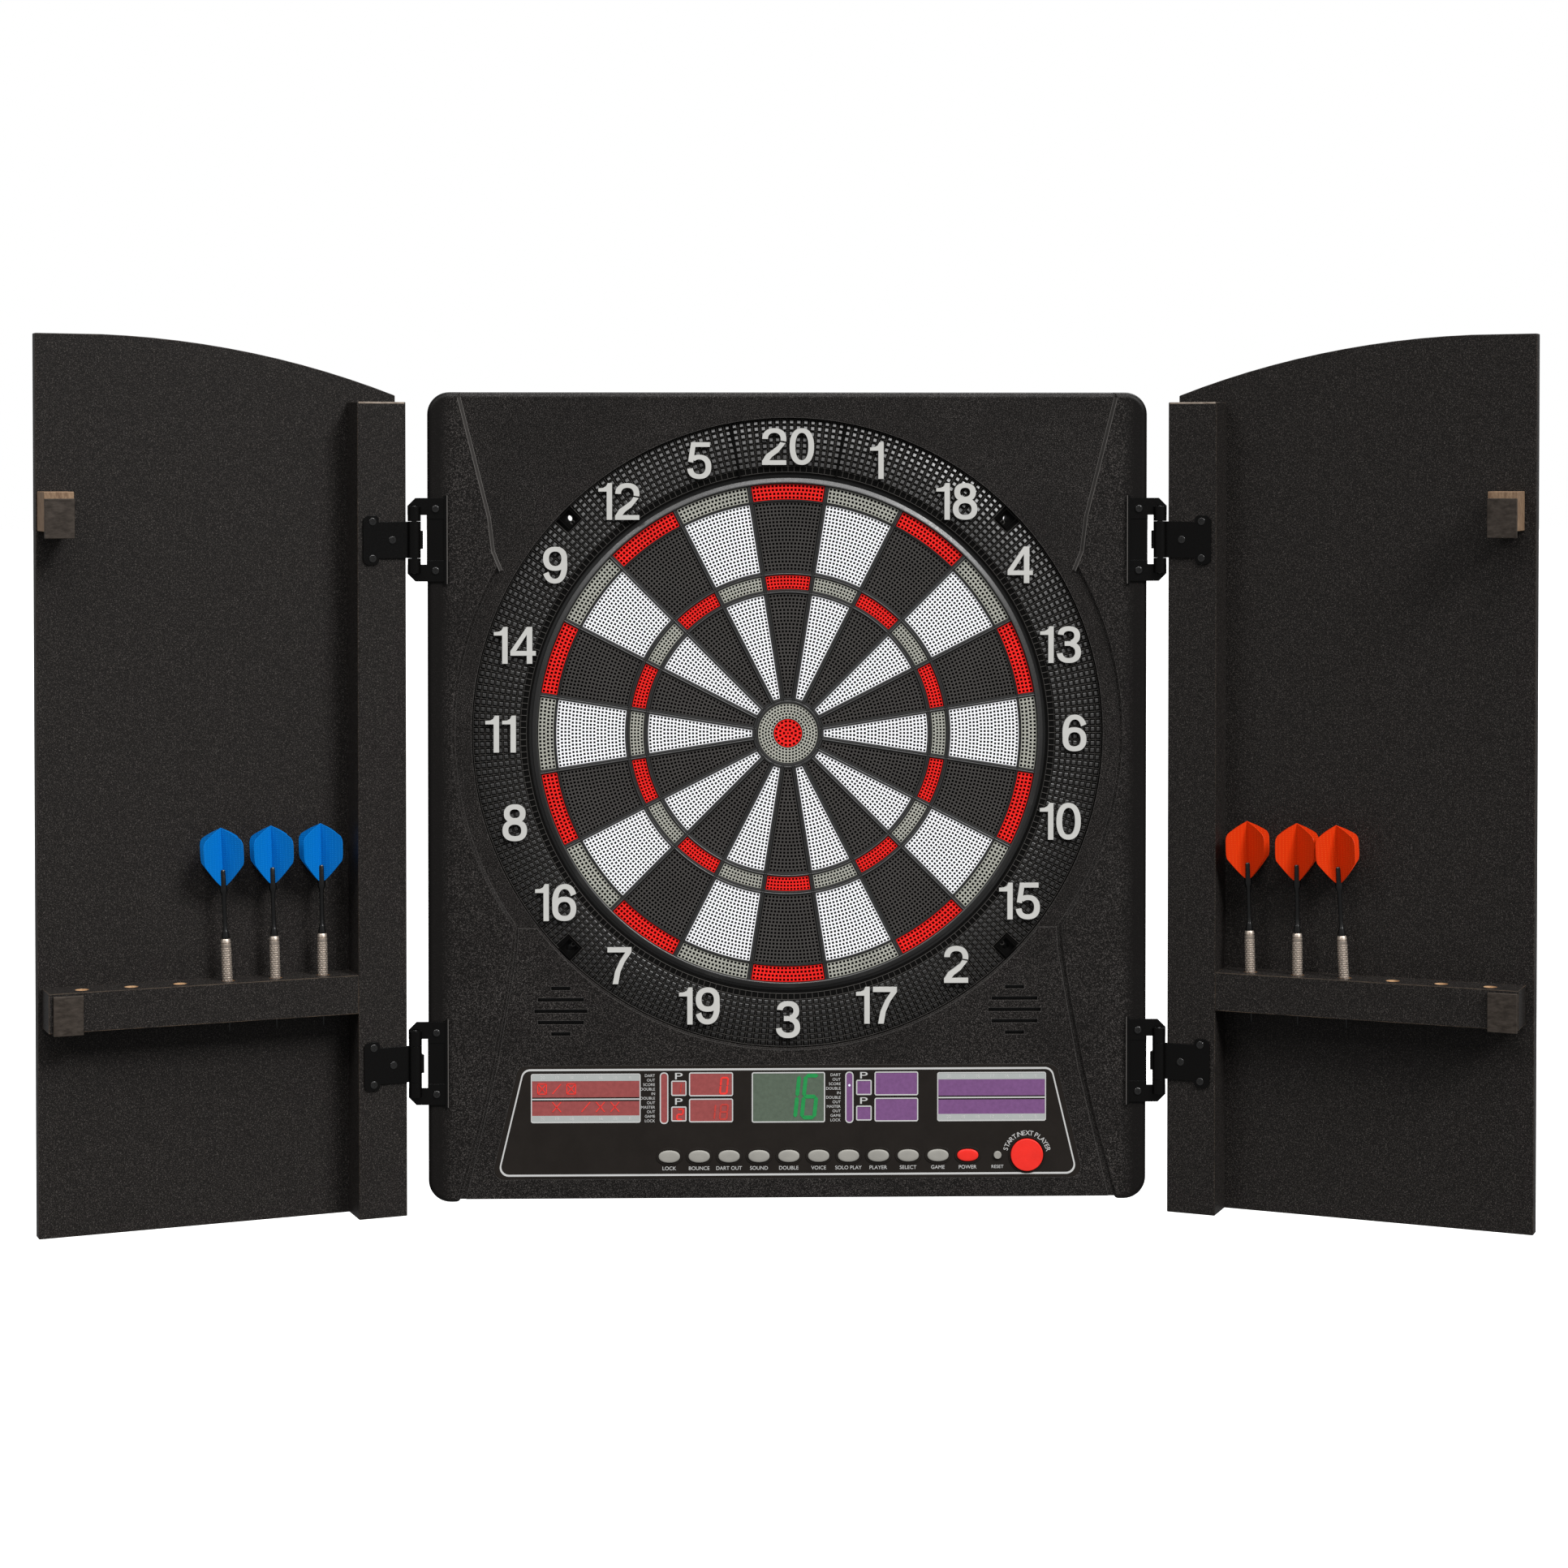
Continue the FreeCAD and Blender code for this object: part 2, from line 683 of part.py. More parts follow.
def rear_housing():
    """The rear shell: a tray with the wall screw tubes, the shell screw tubes and the board posts."""
    body = make_body("rear_housing_body")
    inset = "sizes.rear_inset"
    half = "(sizes.housing_half_width - %s)" % inset
    low, high = "sizes.housing_bottom + %s" % inset, "sizes.housing_top - %s" % inset
    sketch = sketch_on(body, "XZ_Plane", "rear_outline")
    add_rectangle(sketch, "-" + half, half, low, high)
    pad(body, sketch, "rear_block", "sizes.rear_depth")
    sketch = sketch_on(body, "XZ_Plane", "rear_inside_outline", "sizes.rear_depth")
    inner = "(sizes.housing_half_width - %s - sizes.wall)" % inset
    add_rectangle(sketch, "-" + inner, inner, low + " + sizes.wall", high + " - sizes.wall")
    pocket(body, sketch, "rear_inside", "sizes.rear_depth - sizes.wall")
    edge = cell("housing_half_width") - cell("rear_inset")

    def outer_corner(middle, run):
        return along_y(run) and abs(abs(middle.x) - edge) < 0.1

    def inner_corner(middle, run):
        return along_y(run) and abs(abs(middle.x) - edge + cell("wall")) < 0.1

    inner_radius = "sizes.corner_radius - sizes.rear_inset - sizes.wall"
    dress(body, "Fillet", "rear_inside_corners", inner_corner, "Radius", inner_radius)
    dress(body, "Fillet", "rear_corners", outer_corner, "Radius", "sizes.corner_radius - sizes.rear_inset")

    def tubes(name, points, radius, length):
        outline = sketch_on(body, "XZ_Plane", name + "_outline")
        for across, up in points:
            add_circle(outline, across, up, radius)
        pad(body, outline, name, length)

    def bores(name, points, radius, length):
        outline = sketch_on(body, "XZ_Plane", name + "_outline")
        for across, up in points:
            add_circle(outline, across, up, radius)
        pocket(body, outline, name, length, forward=True)

    ledge_back = "sizes.housing_depth - sizes.rail_rise - sizes.front_wall - sizes.ledge_thick"
    tubes("mount_tubes", MOUNT_POINTS, "sizes.mount_tube_radius", ledge_back)
    bores("mount_bores", MOUNT_POINTS, "sizes.mount_hole_radius", "sizes.housing_depth")
    tubes("shell_tubes", SCREW_POINTS, "sizes.boss_radius", "sizes.rear_depth")
    bores("shell_bores", SCREW_POINTS, "sizes.shell_screw_radius + 0.2", "sizes.housing_depth")
    bores("shell_head_bores", SCREW_POINTS, "sizes.shell_head_radius + 0.4", "sizes.shell_head_depth")
    tubes("board_posts", board_post_points(), "sizes.post_radius", BACKING_BACK)

    outline = sketch_on(body, "XY_Plane", "jack_hole_outline", low + " - 1")
    add_circle(outline, "sizes.jack_place", "-sizes.jack_depth", "sizes.jack_nose_radius + 0.1")
    pocket(body, outline, "jack_hole", "sizes.wall + 2", forward=True)
    return keep(body, "rear_housing")


# y of the layers behind the target, as positive depths in front of the wall plane
SHEET_BACK = "(sizes.segment_front - sizes.segment_depth - 1.3 - sizes.sheet_thick)"
MATRIX_BACK = "(%s - sizes.matrix_thick)" % SHEET_BACK
BACKING_BACK = "(%s - sizes.backing_thick)" % MATRIX_BACK


def shell_screws():
    """Ten pan head screws that join the shells, driven from the back."""
    pieces = []
    for index, (across, up) in enumerate(SCREW_POINTS):
        name, length = "shell_screw_%d" % index, "sizes.shell_screw_length"
        base = (across, "-sizes.shell_head_depth", up)
        head = cylinder(name + "_head", "sizes.shell_head_radius", "sizes.shell_head_height", base, YAXIS)
        base = (across, "-sizes.shell_head_depth - sizes.shell_screw_length + 1.8", up)
        shank = cylinder(name + "_shank", "sizes.shell_screw_radius", length, base, YAXIS)
        pieces.append(fuse(name, [head, shank]))
    return group("housing_screws", pieces)


# ---------------------------------------------------------------- target


def catch_ring():
    """The dished ring round the target that carries the numbers, with the four wall screw holes."""
    body = make_body("catch_ring_body")
    sketch = sketch_on(body, "XY_Plane", "ring_section")
    back = "-(sizes.housing_depth - sizes.rail_rise - sizes.rebate_depth)"
    front = "%s - sizes.catch_thick" % back
    add_polygon(
        sketch,
        (
            ("sizes.catch_inner", back),
            ("sizes.catch_outer", back),
            ("sizes.catch_outer", front),
            ("sizes.catch_inner", front + " + sizes.catch_dish"),
        ),
    )
    axis = next(item for item in body.Origin.OriginFeatures if item.Role == "Y_Axis")
    turned = body.newObject("PartDesign::Revolution", "ring")
    turned.Profile = sketch
    turned.ReferenceAxis = (axis, [""])
    turned.Angle = 360
    sketch.Visibility = False
    holes = sketch_on(body, "XZ_Plane", "ring_hole_outline")
    for across, up in MOUNT_POINTS:
        add_circle(holes, across, up, "sizes.mount_hole_radius")
    pocket(body, holes, "ring_holes", "sizes.housing_depth", forward=True)
    return keep(body, "catch_ring")


def segment_spider():
    """The frame between the scoring segments: round webs, twenty radial webs and a rear flange."""
    body = make_body("segment_spider_body")
    set_depth(body, "-(sizes.spider_front - sizes.spider_depth)")
    gap = "sizes.segment_gap"
    rings = (
        ("hub", "sizes.outer_bull_outer + " + gap, "sizes.inner_single_inner - " + gap),
        ("inner_triple_web", "sizes.inner_single_outer + " + gap, "sizes.triple_inner - " + gap),
        ("outer_triple_web", "sizes.triple_outer + " + gap, "sizes.single_inner - " + gap),
        ("double_web", "sizes.single_outer + " + gap, "sizes.double_inner - " + gap),
        ("rim", "sizes.rim_inner", "sizes.rim_outer"),
    )

    def annulus(name, small, large, length, height="0"):
        outline = sketch_on(body, "XZ_Plane", name + "_outline", height)
        add_circle(outline, "0", "0", large)
        add_circle(outline, "0", "0", small)
        pad(body, outline, name, length)

    annulus(*rings[0], "sizes.spider_depth")
    sketch = sketch_on(body, "XZ_Plane", "radial_web_outline")
    start, end = "sizes.outer_bull_outer + 2.5", "sizes.rim_inner + 1.5"
    add_rectangle(sketch, "-sizes.radial_web / 2", "sizes.radial_web / 2", start, end)
    sketch.AttachmentOffset = FreeCAD.Placement(FreeCAD.Vector(0, 0, 0), FreeCAD.Rotation(ZAXIS, 9))
    web = pad(body, sketch, "radial_web", "sizes.spider_depth")
    axis = next(item for item in body.Origin.OriginFeatures if item.Role == "Y_Axis")
    webs = body.newObject("PartDesign::PolarPattern", "radial_webs")
    webs.Originals = [web]
    webs.Axis = (axis, [""])
    webs.Angle = 360
    webs.Occurrences = 20
    body.Tip = webs
    for name, small, large in rings[1:]:
        annulus(name, small, large, "sizes.spider_depth")
    annulus("flange", "sizes.rim_outer - 0.5", "sizes.flange_outer", "sizes.flange_thick")
    return keep(body, "segment_spider")


def sector_solid(small, large, index, front, depth):
    """One scoring segment between two radii, with sides parallel to the radial webs."""
    side = cell("radial_web") / 2 + cell("segment_gap")
    middle = math.radians(90 - 18 * index)
    half = math.radians(9)

    def corner(radius, sign):
        angle = middle + sign * (half - math.asin(side / radius))
        return FreeCAD.Vector(radius * math.cos(angle), -front, radius * math.sin(angle))

    def centre(radius):
        return FreeCAD.Vector(radius * math.cos(middle), -front, radius * math.sin(middle))

    outer = Part.Arc(corner(large, 1), centre(large), corner(large, -1)).toShape()
    right = Part.LineSegment(corner(large, -1), corner(small, -1)).toShape()
    inner = Part.Arc(corner(small, -1), centre(small), corner(small, 1)).toShape()
    left = Part.LineSegment(corner(small, 1), corner(large, 1)).toShape()
    face = Part.Face(Part.Wire([outer, right, inner, left]))
    return face.extrude(FreeCAD.Vector(0, depth, 0))


def segment_ring(name, small, large):
    """Twenty separate segments of one scoring ring."""
    front, depth = cell("segment_front"), cell("segment_depth")
    solids = [sector_solid(cell(small), cell(large), index, front, depth) for index in range(20)]
    return keep(shaped(name, Part.makeCompound(solids)), name)


def bull_segments():
    """The bull's ring and its centre button."""
    body = make_body("outer_bull_body")
    set_depth(body, "-(sizes.segment_front - sizes.segment_depth)")
    sketch = sketch_on(body, "XZ_Plane", "outer_bull_outline")
    add_circle(sketch, "0", "0", "sizes.outer_bull_outer")
    add_circle(sketch, "0", "0", "sizes.outer_bull_inner")
    pad(body, sketch, "outer_bull_block", "sizes.segment_depth")
    keep(body, "outer_bull_segment")
    base = ("0", "-(sizes.segment_front - sizes.segment_depth)", "0")
    centre = cylinder("inner_bull_block", "sizes.inner_bull_outer", "sizes.segment_depth", base, -YAXIS)
    keep(centre, "inner_bull_segment")


def layers_behind_target():
    """Rubber sheet, switch matrix and backing board, held against the spider."""
    sheet_body = make_body("damping_sheet_body")
    set_depth(sheet_body, "-" + SHEET_BACK)
    sketch = sketch_on(sheet_body, "XZ_Plane", "damping_outline")
    add_circle(sketch, "0", "0", "sizes.rim_outer + 3")
    pad(sheet_body, sketch, "damping_block", "sizes.sheet_thick")
    keep(sheet_body, "damping_sheet")

    matrix = make_body("switch_matrix_body")
    set_depth(matrix, "-" + MATRIX_BACK)
    sketch = sketch_on(matrix, "XZ_Plane", "matrix_outline")
    add_circle(sketch, "0", "0", "sizes.rim_outer + 3")
    pad(matrix, sketch, "matrix_block", "sizes.matrix_thick")
    sketch = sketch_on(matrix, "XZ_Plane", "matrix_tail_outline")
    add_rectangle(sketch, "-24", "24", "-sizes.backing_half - 8", "-sizes.rim_outer + 6")
    pad(matrix, sketch, "matrix_tail", "sizes.matrix_thick")
    keep(matrix, "switch_matrix")

    backing = make_body("backing_board_body")
    set_depth(backing, "-" + BACKING_BACK)
    sketch = sketch_on(backing, "XZ_Plane", "backing_outline")
    half = "sizes.backing_half"
    add_rectangle(sketch, "-" + half, half, "-" + half, half)
    pad(backing, sketch, "backing_block", "sizes.backing_thick")
    reach = cell("backing_half")

    def at_corner(middle, run):
        return along_y(run) and abs(abs(middle.x) - reach) < 0.1

    dress(backing, "Chamfer", "backing_corners", at_corner, "Size", "sizes.backing_corner")
    keep(backing, "backing_board")


# ---------------------------------------------------------------- control panel

CONSOLE_FACE = "(sizes.housing_depth - sizes.rail_rise + sizes.console_rise)"
PANEL_BACK = "(%s - sizes.panel_recess)" % CONSOLE_FACE
PANEL_FACE = "(%s + sizes.panel_thick)" % PANEL_BACK
CONSOLE_BACK = "(sizes.housing_depth - sizes.rail_rise - sizes.front_wall)"


def control_panel():
    """The smooth plate with openings for the windows and the buttons, and the windows themselves."""
    body = make_body("control_panel_body")
    set_depth(body, "-" + PANEL_BACK)
    sketch = sketch_on(body, "XZ_Plane", "panel_outline")
    add_polygon(sketch, panel_outline("0"))
    pad(body, sketch, "panel_block", "sizes.panel_thick")
    dress(body, "Fillet", "panel_corners", lambda middle, run: along_y(run), "Radius", "sizes.panel_radius")
    sketch = sketch_on(body, "XZ_Plane", "panel_opening_outline", "sizes.panel_thick")
    for name, left, right, bottom, top in WINDOWS:
        add_rectangle(sketch, str(left), str(right), str(bottom), str(top))
    add_button_holes(sketch)
    pocket(body, sketch, "panel_openings", "5")
    keep(body, "control_panel_plate")

    panes = []
    for name, left, right, bottom, top in WINDOWS:
        width, height = "%.2f" % (right - left), "%.2f" % (top - bottom)
        corner = (str(left), "-" + PANEL_FACE + " + 0.15", str(bottom))
        panes.append(box(name + "_window", width, "sizes.panel_thick - 0.15", height, corner))
    group("display_windows", panes)


def button(name, across, length, height):
    """One push button: a cap through the panel with a lip behind it."""
    body = make_body(name + "_body")
    set_depth(body, "-(%s - sizes.button_clearance - sizes.lip_thick)" % CONSOLE_BACK)
    body.setExpression("Placement.Base.x", across)
    body.setExpression("Placement.Base.z", "sizes.button_row")
    lip = sketch_on(body, "XZ_Plane", name + "_lip_outline")
    cap = sketch_on(body, "XZ_Plane", name + "_cap_outline")
    if length == height:
        add_circle(lip, "0", "0", "(%s) / 2 + sizes.button_lip" % length)
        add_circle(cap, "0", "0", "(%s) / 2" % length)
    else:
        add_slot(lip, "0", "0", length + " + 2 * sizes.button_lip", height + " + 2 * sizes.button_lip")
        add_slot(cap, "0", "0", length, height)
    pad(body, lip, name + "_lip", "sizes.lip_thick")
    through = "%s + sizes.button_proud - %s" % (PANEL_FACE, CONSOLE_BACK)
    pad(body, cap, name + "_cap", through + " + sizes.button_clearance + sizes.lip_thick")
    doc.recompute()
    face = min(vertex.Point.y for vertex in body.Tip.Shape.Vertexes)

    def on_face(middle, run):
        return abs(middle.y - face) < 0.01 and abs(run.y) < 0.01

    dress(body, "Fillet", name + "_round", on_face, "Radius", "0.6")
    return keep(body, name)


def buttons():
    for index, name in enumerate(OVAL_BUTTONS):
        across = "sizes.button_first + %d * sizes.button_pitch" % index
        button(name, across, "sizes.button_length", "sizes.button_height")
    button("reset_button", "sizes.reset_place", "2 * sizes.reset_radius", "2 * sizes.reset_radius")
    button("start_button", "sizes.start_place", "2 * sizes.start_radius", "2 * sizes.start_radius")


def electronics():
    """Keypad mat, display board, main board, speakers and the power jack."""
    lip_back = "(%s - sizes.button_clearance - sizes.lip_thick)" % CONSOLE_BACK
    mat_front = "(%s - 1.3)" % lip_back
    corner = ("-103", "-" + mat_front, "sizes.button_row - 14.5")
    keep(box("keypad_mat_block", "304", "sizes.mat_thick", "29", corner), "keypad_mat")

    corner = ("-201", "-(%s - 2)" % CONSOLE_BACK, "-299")
    keep(box("display_board_block", "402", "sizes.board_thick", "36", corner), "display_board")

    front = "-sizes.main_board_front"
    board = box("main_board_block", "150", "sizes.board_thick", "72", ("-75", front, "-330"))
    chip = box("main_board_chip", "22", "3", "22", ("-11", front + " - 3", "-305"))
    plug = box("main_board_plug", "40", "8", "6", ("-20", front + " - 8", "-268"))
    posts = []
    for across in ("-68", "68"):
        for level in ("-324", "-266"):
            base = (across, front + " + sizes.board_thick", level)
            length = "sizes.main_board_front - sizes.board_thick - sizes.wall"
            posts.append(cylinder("main_board_post", "3", length, base, YAXIS))
    keep(fuse("main_board_fused", [board, chip, plug] + posts), "main_circuit_board")

    for side, word in ((-1, "left"), (1, "right")):
        place = "%d * sizes.speaker_place" % side
        face = "-(%s)" % CONSOLE_BACK
        base = (place, face, "sizes.speaker_height")
        rim = cylinder(word + "_speaker_rim", "sizes.driver_radius", "sizes.driver_rim", base, YAXIS)
        basket = doc.addObject("Part::Cone", word + "_speaker_basket")
        basket.setExpression("Radius1", "sizes.driver_radius - 2")
        basket.setExpression("Radius2", "sizes.magnet_radius - 1")
        basket.setExpression("Height", "sizes.basket_depth")
        basket.Placement = FreeCAD.Placement(FreeCAD.Vector(0, 0, 0), FreeCAD.Rotation(ZAXIS, YAXIS))
        for axis, text in zip("xyz", (place, face + " + sizes.driver_rim - 0.5", "sizes.speaker_height")):
            basket.setExpression("Placement.Base." + axis, text)
        base = (place, face + " + sizes.driver_rim + sizes.basket_depth - 1", "sizes.speaker_height")
        magnet = cylinder(word + "_speaker_magnet", "sizes.magnet_radius", "sizes.magnet_height", base, YAXIS)
        keep(fuse(word + "_speaker_fused", [rim, basket, magnet]), word + "_speaker")

    floor = "sizes.housing_bottom + sizes.rear_inset"
    place, depth, size = "sizes.jack_place", "-sizes.jack_depth", "sizes.jack_size"
    corner = (place + " - sizes.jack_size / 2", depth + " - sizes.jack_size / 2", floor + " + sizes.wall")
    shell = box("jack_shell", size, size, "sizes.jack_height", corner)
    nose = cylinder("jack_nose", "sizes.jack_nose_radius", "sizes.wall + 1", (place, depth, floor))
    bore = cylinder("jack_bore", "sizes.jack_bore_radius", "11", (place, depth, floor + " - 1"))
    pin = cylinder("jack_pin", "1", "10", (place, depth, floor + " + 0.6"))
    hollow = cut("jack_hollow", fuse("jack_solid", [shell, nose]), bore)
    keep(fuse("jack_fused", [hollow, pin]), "power_jack")


# ---------------------------------------------------------------- doors


def door_placement(side):
    """The door's own frame, drawn flat open with its origin on the hinge axis, turned to the open angle."""
    angle = cell("left_open") if side < 0 else -cell("right_open")
    base = FreeCAD.Vector(side * cell("hinge_axis_x"), cell("hinge_axis_y"), 0)
    return FreeCAD.Placement(base, FreeCAD.Rotation(ZAXIS, angle))


def on_door(thing, side):
    """Places an object that is drawn in the door's own frame."""
    thing.Placement = door_placement(side)
    thing.setExpression("Placement.Base.x", "%d * sizes.hinge_axis_x" % side)
    thing.setExpression("Placement.Base.y", "sizes.hinge_axis_y")
    return thing


DOOR_FACE = "(sizes.leaf_gap + sizes.frame_depth)"


def door_panel(side, word):
    """The flat panel of a door: straight sides and bottom, and half of the cabinet's arched top."""
    body = make_body(word + "_door_panel_body")
    back = "-(%s + sizes.panel_board)" % DOOR_FACE
    sketch = sketch_on(body, "XZ_Plane", word + "_door_outline", back)
    edge, free = cell("door_edge"), cell("door_edge") + cell("door_width")
    low, top, start, radius = cell("door_bottom"), cell("door_top"), cell("arch_start"), cell("arch_radius")
    drop = radius - math.sqrt(radius**2 - (start - edge) ** 2)
    hinge_low = FreeCAD.Vector(side * edge, low, 0)
    free_low = FreeCAD.Vector(side * free, low, 0)
    free_top = FreeCAD.Vector(side * free, top, 0)
    arch_top = FreeCAD.Vector(side * start, top, 0)
    hinge_top = FreeCAD.Vector(side * edge, top - drop, 0)
    centre = FreeCAD.Vector(side * start, top - radius, 0)
    lean = math.asin((start - edge) / radius)
    quarter = math.pi / 2
    span = (quarter, quarter + lean) if side > 0 else (quarter - lean, quarter)
    sketch.addGeometry(Part.LineSegment(hinge_low, free_low))
    sketch.addGeometry(Part.LineSegment(free_low, free_top))
    sketch.addGeometry(Part.LineSegment(free_top, arch_top))
    sketch.addGeometry(Part.ArcOfCircle(Part.Circle(centre, ZAXIS, radius), span[0], span[1]))
    sketch.addGeometry(Part.LineSegment(hinge_top, hinge_low))
    near, far = (1, 2) if side > 0 else (2, 1)
    joints = ((0, 2, 1, 1), (1, 2, 2, 1), (2, 2, 3, near), (3, far, 4, 1), (4, 2, 0, 1))
    for first, end, second, begin in joints:
        sketch.addConstraint(Sketcher.Constraint("Coincident", first, end, second, begin))
    place_point(sketch, 0, 1, "%d * sizes.door_edge" % side, "sizes.door_bottom")
    place_point(sketch, 1, 1, "%d * (sizes.door_edge + sizes.door_width)" % side, "sizes.door_bottom")
    place_point(sketch, 2, 1, "%d * (sizes.door_edge + sizes.door_width)" % side, "sizes.door_top")
    place_point(sketch, 3, 3, "%d * sizes.arch_start" % side, "sizes.door_top - sizes.arch_radius")
    place_point(sketch, 3, near, "%d * sizes.arch_start" % side, "sizes.door_top")
    sketch.addConstraint(Sketcher.Constraint("Vertical", 4))
    pad(body, sketch, word + "_door_board", "sizes.panel_board")
    keep(on_door(body, side), word + "_door_panel")


def door_post(side, word):
    body = make_body(word + "_door_post_body")
    sketch = sketch_on(body, "XZ_Plane", word + "_post_outline", "-" + DOOR_FACE)
    near, far = "%d * sizes.door_edge" % side, "%d * (sizes.door_edge + sizes.post_width)" % side
    sides = (near, far) if side > 0 else (far, near)
    add_rectangle(sketch, sides[0], sides[1], "sizes.door_bottom", "sizes.post_top")
    pad(body, sketch, word + "_post_board", "sizes.frame_depth")
    keep(on_door(body, side), word + "_door_post")


def rack_hole(index):
    return "sizes.rack_first_hole + %d * sizes.rack_pitch" % index


def dart_rack(side, word):
    """The rail across a door with six stepped holes for darts."""
    body = make_body(word + "_dart_rack_body")
    sketch = sketch_on(body, "XZ_Plane", word + "_rack_outline", "-" + DOOR_FACE)
    near = "%d * (sizes.door_edge + sizes.post_width)" % side
    far = "%d * sizes.%s_rack_end" % (side, word)
    sides = (near, far) if side > 0 else (far, near)
    add_rectangle(sketch, sides[0], sides[1], "sizes.rack_top - sizes.rack_height", "sizes.rack_top")
    pad(body, sketch, word + "_rack_board", "sizes.frame_depth")
    steps = (
        ("sockets", "sizes.rack_hole_radius", "sizes.rack_hole_depth"),
        ("tip_holes", "sizes.rack_tip_radius", "sizes.rack_height + 2"),
    )
    for name, radius, depth in steps:
        sketch = sketch_on(body, "XY_Plane", "%s_%s_outline" % (word, name), "sizes.rack_top")
        for index in range(6):
            across = "%d * (%s)" % (side, rack_hole(index))
            add_circle(sketch, across, "sizes.leaf_gap + sizes.rack_hole_back", radius)
        pocket(body, sketch, "%s_%s" % (word, name), depth)
    keep(on_door(body, side), word + "_dart_rack")


def stop_blocks(side, word):
    """The upper spacer block, and the two dark plates: one on it and one on the rack's end."""
    height = "sizes.pad_height"
    edge = "sizes.%s_block_edge" % word
    left = "%s - sizes.pad_width" % edge if side > 0 else "-(%s)" % edge
    low = "sizes.block_top - " + height
    corner = (left, "sizes.leaf_gap", low)
    block = box(word + "_block", "sizes.pad_width", "sizes.frame_depth", height, corner)
    moved = moved_to_door([block], side)
    keep(shaped(word + "_stop_block_shape", moved[0]), word + "_stop_block")
    lower_edge = "sizes.%s_pad_edge" % word
    lower_left = "%s - sizes.pad_width" % lower_edge if side > 0 else "-%s" % lower_edge
    front = "sizes.leaf_gap - sizes.pad_thick"
    upper_corner = (left, front, low + " - sizes.pad_drop")
    lower_corner = (lower_left, front, "sizes.rack_top - sizes.pad_height - sizes.lower_pad_drop")
    upper = box(word + "_upper_pad", "sizes.pad_width", "sizes.pad_thick", height, upper_corner)
    lower = box(word + "_lower_pad", "sizes.pad_width", "sizes.pad_thick", height, lower_corner)
    moved = moved_to_door([upper, lower], side)
    keep(shaped(word + "_stop_pads_shape", Part.makeCompound(moved)), word + "_stop_pads")


def moved_to_door(pieces, side):
    """Copies of drawn solids, moved from the door's own frame to the open door."""
    doc.recompute()
    moved = []
    for piece in pieces:
        shape = piece.Shape.copy()
        shape.Placement = door_placement(side).multiply(shape.Placement)
        moved.append(shape)
    return moved


# ---------------------------------------------------------------- hinges


def frame_leaf_body():
    """A right-hand frame leaf: C plate on the housing's edge with two knuckles; origin on the hinge axis."""
    body = make_body("frame_leaf_body")
    edge = "(sizes.housing_half_width - sizes.hinge_axis_x)"
    inner = "%s - sizes.frame_leaf_inner" % edge
    reach = "%s + sizes.arm_reach" % edge
    top, bottom = "sizes.frame_leaf_half", "-sizes.frame_leaf_half"
    cut_top = "sizes.frame_leaf_half - sizes.arm_height"
    cut_bottom = "-(%s)" % cut_top
    bevel = "sizes.arm_chamfer"
    back = "sizes.hinge_axis_y + sizes.housing_depth"
    sketch = sketch_on(body, "XZ_Plane", "frame_leaf_outline", back)
    add_polygon(
        sketch,
        (
            (inner, bottom),
            (reach + " - " + bevel, bottom),
            (reach, bottom + " + " + bevel),
            (reach, cut_bottom),
            (edge, cut_bottom),
            (edge, cut_top),
            (reach, cut_top),
            (reach, top + " - " + bevel),
            (reach + " - " + bevel, top),
            (inner, top),
        ),
    )
    pad(body, sketch, "frame_leaf_plate", "sizes.hinge_leaf_thick")
    sketch = sketch_on(body, "XZ_Plane", "frame_leaf_lip_outline", back)
    add_rectangle(sketch, inner, inner + " + 1.9", bottom + " - 2", top + " + 2")
    pad(body, sketch, "frame_leaf_lip", "sizes.hinge_leaf_thick + 0.8")
    sketch = sketch_on(body, "XZ_Plane", "frame_leaf_step_outline", back + " + sizes.hinge_leaf_thick")
    add_rectangle(sketch, inner + " + 2.4", edge + " + 1", "-16", "16")
    pocket(body, sketch, "frame_leaf_step", "0.6")
    start = "sizes.knuckle_half + sizes.knuckle_gap"
    for name, height in (("upper_knuckle", start), ("lower_knuckle", "-sizes.barrel_half")):
        sketch = sketch_on(body, "XY_Plane", name + "_outline", height)
        add_circle(sketch, "0", "0", "sizes.barrel_radius")
        pad(body, sketch, name, "sizes.barrel_half - (%s)" % start)
    sketch = sketch_on(body, "XY_Plane", "frame_pin_bore_outline", "-sizes.barrel_half - 1")
    add_circle(sketch, "0", "0", "sizes.pin_radius")
    pocket(body, sketch, "frame_pin_bore", "2 * sizes.barrel_half + 2", forward=True)
    sketch = sketch_on(body, "XZ_Plane", "frame_screw_hole_outline", "10")
    for level in (-1, 1):
        add_circle(sketch, FRAME_SCREW_X, "%d * sizes.frame_screw_rise" % level, "sizes.hinge_screw_radius")
    pocket(body, sketch, "frame_screw_holes", "20")
    doc.recompute()
    return body


FRAME_SCREW_X = "(sizes.housing_half_width - sizes.hinge_axis_x) - sizes.frame_screw_inset"
# screws of a door leaf, measured from the hinge axis and the hinge's middle
DOOR_SCREWS = ((17.1, 0.0), (32.6, -14.1), (32.6, 14.1))


